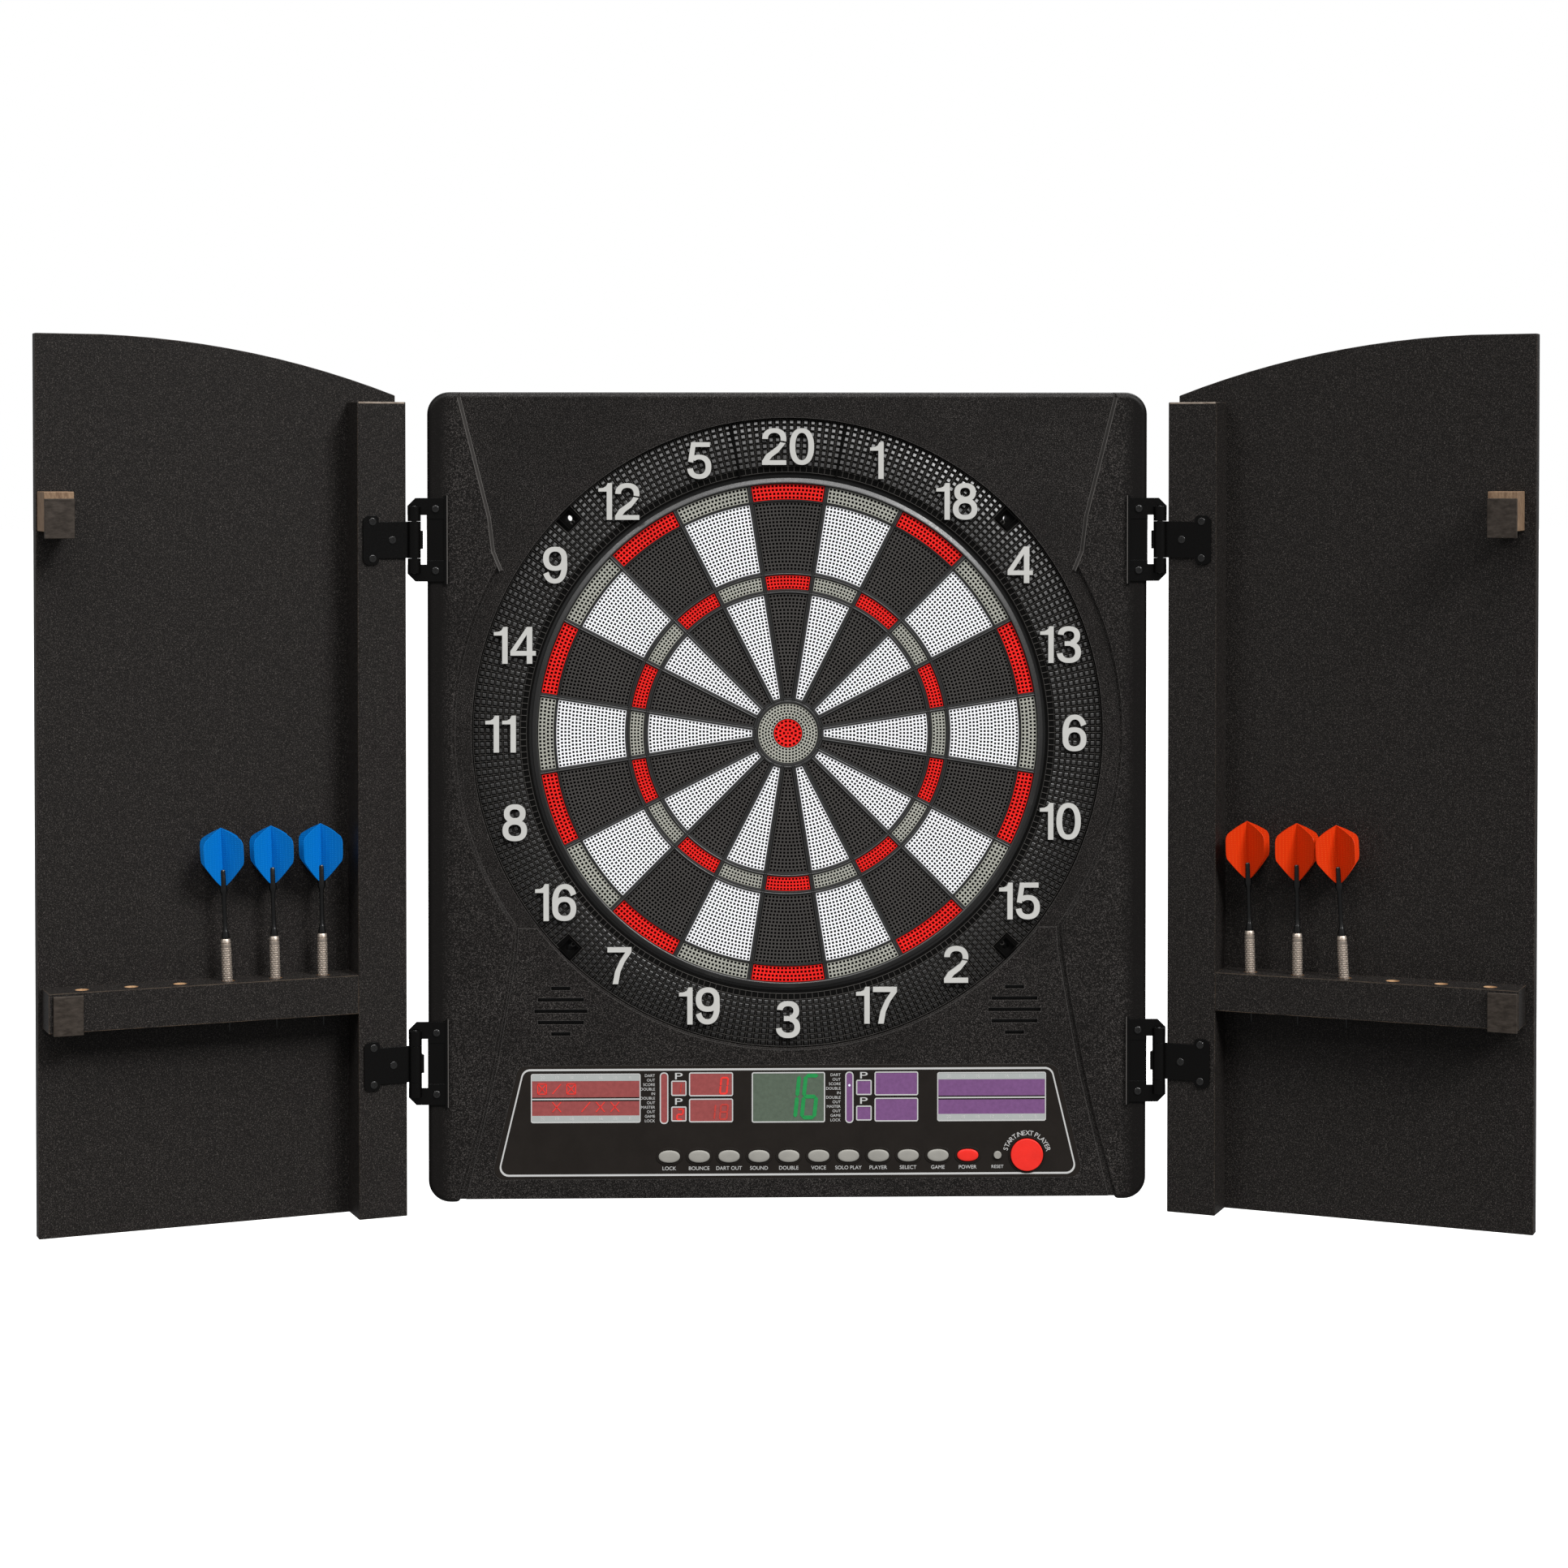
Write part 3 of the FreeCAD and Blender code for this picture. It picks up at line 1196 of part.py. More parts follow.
def door_leaf_body():
    """A right-hand door leaf: T plate on the post with the middle knuckle and its spring cover."""
    body = make_body("door_leaf_body")
    length, half, wide = "sizes.door_leaf_length", "sizes.door_leaf_half", "sizes.door_leaf_wide_half"
    step = "%s - sizes.door_leaf_wide_length" % length
    back = "-sizes.leaf_gap"
    sketch = sketch_on(body, "XZ_Plane", "door_leaf_outline", back)
    add_polygon(
        sketch,
        (
            ("3.5", "-" + half),
            (step, "-" + half),
            (step, "-" + wide),
            (length, "-" + wide),
            (length, wide),
            (step, wide),
            (step, half),
            ("3.5", half),
        ),
    )
    pad(body, sketch, "door_leaf_plate", "sizes.hinge_leaf_thick")
    reach = cell("door_leaf_length")

    def outer_corner(middle, run):
        return along_y(run) and abs(middle.x - reach) < 0.1

    def shoulder(middle, run):
        on_step = abs(middle.x - reach + cell("door_leaf_wide_length")) < 0.1
        return along_y(run) and on_step and abs(middle.z) > cell("door_leaf_half") + 1

    dress(body, "Fillet", "door_leaf_corners", outer_corner, "Radius", "4.5")
    dress(body, "Fillet", "door_leaf_shoulders", shoulder, "Radius", "3")
    sketch = sketch_on(body, "XY_Plane", "middle_knuckle_outline", "-sizes.knuckle_half")
    add_circle(sketch, "0", "0", "sizes.barrel_radius")
    pad(body, sketch, "middle_knuckle", "2 * sizes.knuckle_half")
    sketch = sketch_on(body, "XY_Plane", "spring_cover_outline", "-7")
    add_rectangle(sketch, "-6.2", "-2.6", "-3", "3.2")
    pad(body, sketch, "spring_cover", "14")
    sketch = sketch_on(body, "XY_Plane", "door_pin_bore_outline", "-sizes.knuckle_half - 1")
    add_circle(sketch, "0", "0", "sizes.pin_radius + sizes.pin_clearance")
    pocket(body, sketch, "door_pin_bore", "2 * sizes.knuckle_half + 2", forward=True)
    sketch = sketch_on(body, "XZ_Plane", "door_screw_hole_outline", "10")
    for across, up in DOOR_SCREWS:
        add_circle(sketch, str(across), str(up), "sizes.hinge_screw_radius")
    pocket(body, sketch, "door_screw_holes", "20")
    doc.recompute()
    return body


def screw_shape(head_radius, head_height, shank_length):
    """A domed cross-slot screw along -Y, its head's underside at the origin."""
    origin = FreeCAD.Vector(0, 0, 0)
    head = Part.makeCylinder(head_radius, head_height, origin, -YAXIS)
    rim = [edge for edge in head.Edges if abs(edge.CenterOfMass.y + head_height) < 0.01]
    head = head.makeFillet(head_height * 0.6, rim)
    shank = Part.makeCylinder(cell("hinge_screw_radius"), shank_length, origin, YAXIS)
    corner = FreeCAD.Vector(-head_radius * 0.55, -head_height * 1.5, -0.4)
    slot = Part.makeBox(head_radius * 1.1, head_height, 0.8, corner)
    cross = slot.fuse(slot.rotated(origin, YAXIS, 90))
    return head.fuse(shank).cut(cross)


def right_and_left(shape, side):
    """The shape itself on the right, its mirror image on the left."""
    return shape if side > 0 else shape.mirror(FreeCAD.Vector(0, 0, 0), FreeCAD.Vector(1, 0, 0))


def hinges():
    """Four hinges: frame leaves, pins and screws on the housing, leaves and screws on the doors."""
    frame_leaf, door_leaf = frame_leaf_body(), door_leaf_body()
    levels = (cell("upper_hinge"), cell("lower_hinge"))
    axis_y = cell("hinge_axis_y")
    thick = cell("hinge_leaf_thick")
    pin_reach = cell("barrel_half") + 0.6
    pin = Part.makeCylinder(cell("pin_radius"), 2 * pin_reach, FreeCAD.Vector(0, 0, -pin_reach))
    frame_screw = screw_shape(2.9, 1.3, 3.5)
    door_screw = screw_shape(2.9, 0.7, 12.0)
    frame_leaves, pins, frame_screws = [], [], []
    for side, word in ((-1, "left"), (1, "right")):
        door_leaves, door_screws = [], []
        for level in levels:
            axis = FreeCAD.Vector(side * cell("hinge_axis_x"), axis_y, level)
            frame_leaves.append(right_and_left(frame_leaf.Shape, side).translated(axis))
            pins.append(pin.translated(axis))
            for row in (-1, 1):
                place = FreeCAD.Vector(side * value(FRAME_SCREW_X), 0, row * cell("frame_screw_rise")) + axis
                place.y = -cell("housing_depth") - thick
                frame_screws.append(frame_screw.translated(place))
            lift = FreeCAD.Vector(0, 0, level)
            door_leaves.append(right_and_left(door_leaf.Shape, side).translated(lift))
            for across, row in DOOR_SCREWS:
                place = FreeCAD.Vector(side * across, cell("leaf_gap") - thick, row + level)
                door_screws.append(door_screw.translated(place))
        for name, solids in (("leaves", door_leaves), ("screws", door_screws)):
            label = "%s_hinge_door_%s" % (word, name)
            keep(shaped(label, Part.makeCompound(solids), door_placement(side)), label)
    keep(shaped("frame_leaf_shape", Part.makeCompound(frame_leaves)), "hinge_frame_leaves")
    keep(shaped("pin_shape", Part.makeCompound(pins)), "hinge_pins")
    keep(shaped("frame_screw_shape", Part.makeCompound(frame_screws)), "hinge_frame_screws")


# ---------------------------------------------------------------- darts


def revolved(points):
    """A solid of revolution about Z from (radius, height) points that start and end on the axis."""
    path = [FreeCAD.Vector(radius, 0, height) for radius, height in points]
    return Part.Face(Part.makePolygon(path + path[:1])).revolve(FreeCAD.Vector(0, 0, 0), ZAXIS, 360)


def dart_shape():
    """Tip, barrel, shaft and four-winged flight, standing on the barrel's lower end."""
    length, radius = cell("barrel_length"), cell("dart_barrel_radius")
    fork, end, start = cell("shaft_end"), cell("fork_end"), cell("flight_start")
    tip_end = -cell("tip_length")
    point = [(0.9, tip_end + 1.5), (0.35, tip_end), (0, tip_end)]
    tip = revolved([(0, 0), (2.6, 0), (2.6, -5), (1.25, -7.5)] + point)
    barrel = revolved([(0, 0), (3.3, 0), (radius, 1.5), (radius, length - 2), (3.2, length), (0, length)])
    collar = [(0, length), (3.0, length), (2.0, length + 6.2)]
    shaft = revolved(collar + [(1.9, fork - 4), (2.3, fork), (2.0, end), (0, end)])
    reach, half = cell("flight_reach"), cell("flight_thick") / 2
    top = start + cell("flight_height")
    tail = [(reach, top - 11.5), (reach - 3.2, top - 7.2), (0, top)]
    outline = [(0, start), (2.2, start), (reach, start + reach)] + tail
    path = [FreeCAD.Vector(across, -half, up) for across, up in outline]
    wing = Part.Face(Part.makePolygon(path + path[:1])).extrude(FreeCAD.Vector(0, 2 * half, 0))
    wings = [wing.rotated(FreeCAD.Vector(0, 0, 0), ZAXIS, 90 * step) for step in range(4)]
    core = Part.makeBox(2 * half, 2 * half, top - start - half, FreeCAD.Vector(-half, -half, start))
    flight = core.fuse(wings).removeSplitter()
    return Part.makeCompound([tip, barrel, shaft.cut(flight), flight])


def darts(side, word):
    """Three darts in the rack's holes next to the post, each leaning a little in its hole."""
    shape = dart_shape()
    depth = cell("leaf_gap") + cell("rack_hole_back")
    seat = cell("rack_top") - cell("rack_hole_depth") + 0.15
    for name, index, left_lean, right_lean in DARTS:
        across = side * value(rack_hole(index))
        turn = FreeCAD.Rotation(ZAXIS, -side * cell("flight_turn"))
        tilt = FreeCAD.Rotation(YAXIS, -left_lean if side < 0 else -right_lean)
        local = FreeCAD.Placement(FreeCAD.Vector(across, depth, seat), tilt.multiply(turn))
        label = "%s_dart_%s" % (word, name)
        keep(shaped(label + "_shape", shape.copy(), door_placement(side).multiply(local)), label)


def build():
    front_housing()
    rear_housing()
    shell_screws()
    catch_ring()
    segment_spider()
    segment_ring("double_segments", "double_inner", "double_outer")
    segment_ring("triple_segments", "triple_inner", "triple_outer")
    segment_ring("outer_single_segments", "single_inner", "single_outer")
    segment_ring("inner_single_segments", "inner_single_inner", "inner_single_outer")
    bull_segments()
    layers_behind_target()
    control_panel()
    buttons()
    electronics()
    hinges()
    for side, word in ((-1, "left"), (1, "right")):
        door_panel(side, word)
        door_post(side, word)
        dart_rack(side, word)
        stop_blocks(side, word)
        darts(side, word)
    doc.recompute()


def check():
    """Stops before anything is written if an object failed or a sub-part's shape is not sound."""
    for item in doc.Objects:
        if "Invalid" in item.State or "Error" in item.State:
            raise RuntimeError("%s is in state %s" % (item.Label, item.State))
    for item in sub_parts:
        if item.Shape.isNull() or not item.Shape.isValid():
            raise RuntimeError("%s has no sound shape" % item.Label)


build()
check()
os.makedirs("parts", exist_ok=True)
for item in sub_parts:
    item.Shape.exportStep("parts/%s.step" % item.Label)
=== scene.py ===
"""The looks of the dart board cabinet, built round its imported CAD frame. Lengths here are in millimetres."""
import json
import math

import bmesh
import bpy
from mathutils import Matrix, Vector


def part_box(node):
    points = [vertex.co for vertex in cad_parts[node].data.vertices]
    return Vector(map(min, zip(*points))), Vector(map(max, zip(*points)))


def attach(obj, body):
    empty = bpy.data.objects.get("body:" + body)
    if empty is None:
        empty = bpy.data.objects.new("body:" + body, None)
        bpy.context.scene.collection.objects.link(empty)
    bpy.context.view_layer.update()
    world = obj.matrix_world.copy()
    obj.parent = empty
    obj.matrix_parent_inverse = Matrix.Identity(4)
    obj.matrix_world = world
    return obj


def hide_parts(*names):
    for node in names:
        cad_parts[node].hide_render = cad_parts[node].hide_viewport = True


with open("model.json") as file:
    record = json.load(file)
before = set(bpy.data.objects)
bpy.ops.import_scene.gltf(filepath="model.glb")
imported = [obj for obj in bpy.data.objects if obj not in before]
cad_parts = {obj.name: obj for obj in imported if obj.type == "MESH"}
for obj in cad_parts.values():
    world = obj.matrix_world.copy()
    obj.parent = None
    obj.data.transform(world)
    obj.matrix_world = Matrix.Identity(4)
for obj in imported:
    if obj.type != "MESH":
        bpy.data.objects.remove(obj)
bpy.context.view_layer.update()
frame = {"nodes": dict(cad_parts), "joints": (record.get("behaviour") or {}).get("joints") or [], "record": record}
NODES = frame["nodes"]
JOINTS = {joint["name"]: joint for joint in frame["joints"]}
TAU = 2 * math.pi
SIDES = ((-1, "left"), (1, "right"))


def reach(node):
    """A CAD node's lowest and highest corner in millimetres."""
    low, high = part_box(node)
    return low * 1000, high * 1000


# ---------------------------------------------------------------- material nodes


class Shader:
    """A node material with one Principled shader and short calls for the nodes behind it."""

    def __init__(self, name, colour, roughness, **sockets):
        self.material = bpy.data.materials.new(name)
        self.material.use_nodes = True
        self.material.diffuse_color = (*colour, 1)
        self.tree = self.material.node_tree
        self.principled = self.tree.nodes["Principled BSDF"]
        self.set("Base Color", (*colour, 1))
        self.set("Roughness", roughness)
        for socket, number in sockets.items():
            self.set(socket.replace("_", " "), number)
        self.place = self.node("ShaderNodeTexCoord").outputs["Object"]

    def set(self, socket, number):
        self.principled.inputs[socket].default_value = number

    def node(self, kind, **settings):
        made = self.tree.nodes.new(kind)
        for key, setting in settings.items():
            setattr(made, key, setting)
        return made

    def link(self, output, node, socket):
        self.tree.links.new(output, node.inputs[socket])

    def noise(self, size, detail=2.0, stretch=(1, 1, 1), rough=0.6):
        """Noise whose features are about size millimetres across."""
        mapping = self.node("ShaderNodeMapping")
        mapping.inputs["Scale"].default_value = stretch
        self.link(self.place, mapping, "Vector")
        made = self.node("ShaderNodeTexNoise")
        made.inputs["Scale"].default_value = 1000 / size
        made.inputs["Detail"].default_value = detail
        made.inputs["Roughness"].default_value = rough
        self.link(mapping.outputs["Vector"], made, "Vector")
        return made.outputs["Fac"]

    def ramp(self, source, low, high, first, last):
        """Maps a value from low..high to first..last."""
        made = self.node("ShaderNodeMapRange")
        made.inputs["From Min"].default_value = low
        made.inputs["From Max"].default_value = high
        made.inputs["To Min"].default_value = first
        made.inputs["To Max"].default_value = last
        self.link(source, made, "Value")
        return made.outputs["Result"]

    def mix(self, factor, first, second):
        """Mixes two colours, or the outputs that carry them."""
        made = self.node("ShaderNodeMix", data_type="RGBA")
        self.link(factor, made, "Factor")
        for socket, colour in ((6, first), (7, second)):
            if isinstance(colour, tuple):
                made.inputs[socket].default_value = (*colour, 1)
            else:
                self.tree.links.new(colour, made.inputs[socket])
        return made.outputs[2]

    def product(self, first, second, operation="MULTIPLY"):
        """The product of an output and an output or number, or what another Math operation makes of them."""
        made = self.node("ShaderNodeMath", operation=operation)
        self.tree.links.new(first, made.inputs[0])
        if isinstance(second, (int, float)):
            made.inputs[1].default_value = second
        else:
            self.tree.links.new(second, made.inputs[1])
        return made.outputs[0]

    def edges(self, radius):
        """0 on flat faces, rising to 1 at edges, from the change of a bevelled normal."""
        bevel = self.node("ShaderNodeBevel", samples=4)
        bevel.inputs["Radius"].default_value = radius / 1000
        plain = self.node("ShaderNodeNewGeometry")
        dot = self.node("ShaderNodeVectorMath", operation="DOT_PRODUCT")
        self.tree.links.new(bevel.outputs["Normal"], dot.inputs[0])
        self.tree.links.new(plain.outputs["Normal"], dot.inputs[1])
        return self.ramp(dot.outputs["Value"], 0.98, 0.8, 0.0, 1.0)

    def colour(self, output):
        self.link(output, self.principled, "Base Color")

    def roughness(self, output):
        self.link(output, self.principled, "Roughness")

    def bump(self, height, depth):
        """Bump of a height field that spans depth millimetres."""
        made = self.node("ShaderNodeBump")
        made.inputs["Distance"].default_value = depth / 1000
        made.inputs["Strength"].default_value = 1.0
        self.link(height, made, "Height")
        self.link(made.outputs["Normal"], self.principled, "Normal")


def grained(name, dark, light, roughness, edge=None, smooth_from=None):
    """Moulded plastic with a fine spark-eroded grain: light specks on a dark ground.

    edge is a painted highlight colour mixed in along edges. smooth_from is how far from the middle the grain fades
    out.
    """
    made = Shader(name, dark, roughness, Specular_IOR_Level=0.15)
    fine = made.noise(0.7, 3.0, rough=0.7)
    broad = made.noise(60.0, 2.0)
    speck = made.product(made.ramp(fine, 0.52, 0.72, 0.0, 1.0), made.ramp(broad, 0.3, 0.7, 0.6, 1.0))
    if smooth_from:
        split = made.node("ShaderNodeSeparateXYZ")
        made.link(made.place, split, "Vector")
        across = made.product(split.outputs["X"], 0.0, "ABSOLUTE")
        start = smooth_from / 1000
        speck = made.product(speck, made.ramp(across, start, start + 0.010, 1.0, 0.08))
    ground = made.mix(speck, dark, light)
    if edge:
        # painted highlight: the edge colour lightens rounded edges where they would catch the light
        ground = made.mix(made.product(made.edges(0.8), 0.6), ground, edge)
    made.colour(ground)
    made.roughness(made.ramp(fine, 0.3, 0.7, roughness + 0.08, roughness - 0.08))
    made.bump(fine, 0.15)
    return made.material


def moulded(name, colour, roughness, tint=0.85, grain=1.6, depth=0.03, spec=0.35, **sockets):
    """Smooth moulded plastic or paint, with slight mottling and a faint waviness."""
    made = Shader(name, colour, roughness, Specular_IOR_Level=spec, **sockets)
    fine = made.noise(grain, 2.0)
    broad = made.noise(25.0, 3.0)
    shade = tuple(channel * tint for channel in colour)
    made.colour(made.mix(made.ramp(broad, 0.35, 0.65, 0.0, 1.0), colour, shade))
    made.roughness(made.ramp(fine, 0.3, 0.7, roughness - 0.05, roughness + 0.07))
    made.bump(fine, depth)
    return made.material


def foil(name, dark, light, edge):
    """Black leather-textured foil on fibreboard, brown along its edges: partly where it is rubbed through, partly
    a painted highlight on the rounded edges.
    """
    made = Shader(name, dark, 0.42, Specular_IOR_Level=0.15)
    fine = made.noise(0.75, 3.0, rough=0.75)
    pores = made.noise(1.8, 2.0)
    speck = made.ramp(fine, 0.52, 0.73, 0.0, 1.0)
    ground = made.mix(speck, dark, light)
    # edge colour in patches along the edges: partly rubbed-through wear, partly painted highlight
    rubbed = made.product(made.edges(0.9), made.ramp(made.noise(14.0, 4.0), 0.36, 0.60, 0.1, 0.8))
    made.colour(made.mix(rubbed, ground, edge))
    made.roughness(made.ramp(fine, 0.3, 0.7, 0.52, 0.34))
    made.bump(made.product(fine, made.ramp(pores, 0.2, 0.8, 0.6, 1.4)), 0.16)
    return made.material


def timber(name, dark, light, size, stretch, edge, wear):
    """Wood with grain that runs along one axis, lighter along its worn edges."""
    made = Shader(name, dark, 0.5, Specular_IOR_Level=0.2)
    grain = made.noise(size, 5.0, stretch, rough=0.65)
    ground = made.mix(made.ramp(grain, 0.36, 0.66, 0.0, 1.0), dark, light)
    rubbed = made.product(made.edges(0.8), made.ramp(made.noise(5.0, 3.0), 0.35, 0.6, 0.0, wear))
    made.colour(made.mix(rubbed, ground, edge))
    made.bump(grain, 0.12)
    return made.material


def knurled_metal(name, colour, roughness):
    """Nickel plate, dulled in fine random patches."""
    made = Shader(name, colour, roughness, Metallic=0.75)
    fine = made.noise(0.7, 3.0)
    shade = tuple(channel * 0.62 for channel in colour)
    made.colour(made.mix(made.ramp(fine, 0.35, 0.65, 0.0, 1.0), colour, shade))
    made.roughness(made.ramp(made.noise(2.0, 2.0), 0.3, 0.7, roughness - 0.08, roughness + 0.1))
    made.bump(fine, 0.05)
    return made.material


def embossed_film(name, colour, glow):
    """Flight film: coloured plastic with fine embossed dots."""
    made = Shader(name, colour, 0.38, Specular_IOR_Level=0.15)
    cells = made.node("ShaderNodeTexVoronoi", feature="F1", distance="EUCLIDEAN")
    cells.inputs["Scale"].default_value = 1000 / 1.5
    cells.inputs["Randomness"].default_value = 0.0
    made.link(made.place, cells, "Vector")
    dots = made.ramp(cells.outputs["Distance"], 0.2, 0.45, 1.0, 0.0)
    made.colour(made.mix(made.product(dots, 0.35), colour, glow))
    made.bump(dots, 0.08)
    return made.material


def lit_window(name, colour, glow):
    """Tinted display window with a faint light behind it."""
    made = Shader(name, colour, 0.25, Specular_IOR_Level=0.25)
    fine = made.noise(3.0, 2.0)
    shade = tuple(channel * 0.82 for channel in colour)
    made.colour(made.mix(made.ramp(fine, 0.3, 0.7, 0.0, 1.0), colour, shade))
    made.set("Emission Color", (*colour, 1))
    made.set("Emission Strength", glow)
    return made.material


HOUSING_DARK, HOUSING_LIGHT = (0.0058, 0.0050, 0.0046), (0.150, 0.136, 0.128)
# painted highlight colour for the housing's rounded edges
HOUSING_EDGE_HIGHLIGHT = (0.13, 0.123, 0.117)
HOUSING = grained("housing_plastic", HOUSING_DARK, HOUSING_LIGHT, 0.42, HOUSING_EDGE_HIGHLIGHT, 257.0)
REAR = grained("rear_plastic", (0.010, 0.010, 0.010), (0.05, 0.05, 0.05), 0.5)
RING = moulded("ring_plastic", (0.004, 0.0038, 0.0036), 0.45, spec=0.05)
NET = moulded("net_plastic", (0.066, 0.062, 0.058), 0.42, spec=0.3)
STUD = moulded("stud_plastic", (0.022, 0.021, 0.020), 0.40, spec=1.0)
# painted highlight: light plastic for rounded edges that would catch the light
EDGE_HIGHLIGHT = moulded("edge_highlight_plastic", (0.120, 0.112, 0.105), 0.40, spec=0.4)
# painted light: the rail slope's colour is lighter to show the light falling on it
LIT_SLOPE = moulded("slope_painted_light_plastic", (0.036, 0.033, 0.031), 0.42, spec=0.2)
NUMBER = moulded("number_paint", (0.57, 0.565, 0.54), 0.42, tint=0.93, spec=0.3)
SPIDER = moulded("spider_plastic", (0.015, 0.0145, 0.014), 0.40, spec=0.8)
RED = moulded("segment_red", (0.92, 0.016, 0.012), 0.40, spec=0.3)
GREY = moulded("segment_grey", (0.41, 0.41, 0.36), 0.45, spec=0.3)
WHITE = moulded("segment_white", (0.93, 0.935, 0.96), 0.42, tint=0.97, spec=0.3)
BLACK = moulded("segment_black", (0.058, 0.054, 0.051), 0.40, spec=0.2)
HOLE = moulded("hole_shadow", (0.003, 0.003, 0.003), 0.7, spec=0.0)
HOLE_WHITE = moulded("hole_shadow_white", (0.014, 0.014, 0.016), 0.7, spec=0.0)
HOLE_RED = moulded("hole_shadow_red", (0.24, 0.005, 0.004), 0.7, spec=0.0)
RUBBER = moulded("sheet_rubber", (0.02, 0.02, 0.02), 0.8)
FILM = moulded("membrane_film", (0.3, 0.33, 0.3), 0.3)
BOARD = moulded("circuit_board", (0.015, 0.10, 0.04), 0.35)
PANEL = moulded("panel_film", (0.0175, 0.0145, 0.0125), 0.40, depth=0.01, spec=0.12)
PRINT = moulded("panel_print", (0.56, 0.56, 0.55), 0.5, tint=0.95, spec=0.3)
BAND = moulded("band_print", (0.41, 0.43, 0.42), 0.45, tint=0.95, spec=0.3)
STEEL = moulded("speaker_steel", (0.03, 0.03, 0.03), 0.4, Metallic=0.6)
SCREW = moulded("screw_black", (0.006, 0.0058, 0.0056), 0.22, spec=0.8)
HINGE = moulded("hinge_black", (0.0020, 0.0018, 0.0017), 0.30, grain=1.0, depth=0.03, spec=0.2)
BUTTON_GREY = moulded("button_grey", (0.33, 0.32, 0.29), 0.5, spec=0.3)
BUTTON_RED = moulded("button_red", (0.90, 0.030, 0.020), 0.42, spec=0.3)
# the last colour is the brown along the edges: rubbed-through wear and a painted highlight
FOIL = foil("door_foil", (0.0090, 0.0078, 0.0072), (0.110, 0.098, 0.090), (0.19, 0.13, 0.085))

# name, dark and light colour, size and stretch of the grain, colour and amount of wear at the edges
WOODS = (
    ("hardboard", (0.14, 0.085, 0.05), (0.24, 0.15, 0.09), 2.0, (1, 1, 1), (0.3, 0.2, 0.12), 0.4),
    ("raw_fibreboard", (0.42, 0.24, 0.12), (0.62, 0.40, 0.22), 1.4, (1, 1, 1), (0.7, 0.5, 0.3), 0.3),
    ("plate_wood", (0.024, 0.0185, 0.0145), (0.055, 0.044, 0.036), 3.0, (0.12, 1, 1), (0.12, 0.095, 0.07),
     0.6),
    ("block_wood", (0.16, 0.098, 0.060), (0.30, 0.20, 0.125), 2.0, (1, 1, 0.3), (0.4, 0.3, 0.2), 0.5),
    ("post_edge_wood", (0.16, 0.125, 0.098), (0.34, 0.285, 0.235), 3.0, (0.4, 1, 1), (0.4, 0.33, 0.27), 0.4),
)
BACKING, RAW, PLATE, BLOCK, LIP = (timber(*wood) for wood in WOODS)

NICKEL = knurled_metal("dart_nickel", (0.62, 0.53, 0.45), 0.40)
SHAFT = moulded("dart_black", (0.004, 0.004, 0.004), 0.25, spec=0.5)
BLUE = embossed_film("flight_blue", (0.001, 0.155, 0.52), (0.01, 0.28, 0.72))
ORANGE = embossed_film("flight_orange", (0.60, 0.030, 0.002), (0.78, 0.10, 0.010))
WINDOW_RED = lit_window("window_red", (0.30, 0.072, 0.070), 0.08)
WINDOW_GREEN = lit_window("window_green", (0.098, 0.128, 0.095), 0.08)
WINDOW_PURPLE = lit_window("window_purple", (0.185, 0.082, 0.212), 0.1)
MARK_RED = lit_window("mark_red", (0.80, 0.045, 0.035), 0.12)
MARK_GREEN = lit_window("mark_green", (0.02, 0.26, 0.07), 0.15)
MARK_DIM = lit_window("mark_dim", (0.50, 0.055, 0.045), 0.08)
MARK_WHITE = lit_window("mark_white", (0.75, 0.75, 0.90), 0.3)


# ---------------------------------------------------------------- meshes


def around(radius, angle, y):
    """A point on a circle round the bull, its angle clockwise from the top."""
    return (radius * math.sin(angle), y, radius * math.cos(angle))


def loft(count, levels, capped=True):
    """Faces that join levels of count points each, with both ends capped or left open."""
    faces = []
    for here in range(0, (levels - 1) * count, count):
        there = here + count
        for i in range(count):
            j = (i + 1) % count
            faces.append([here + i, here + j, there + j, there + i])
    if capped:
        last = (levels - 1) * count
        faces += [list(range(count - 1, -1, -1)), list(range(last, last + count))]
    return faces


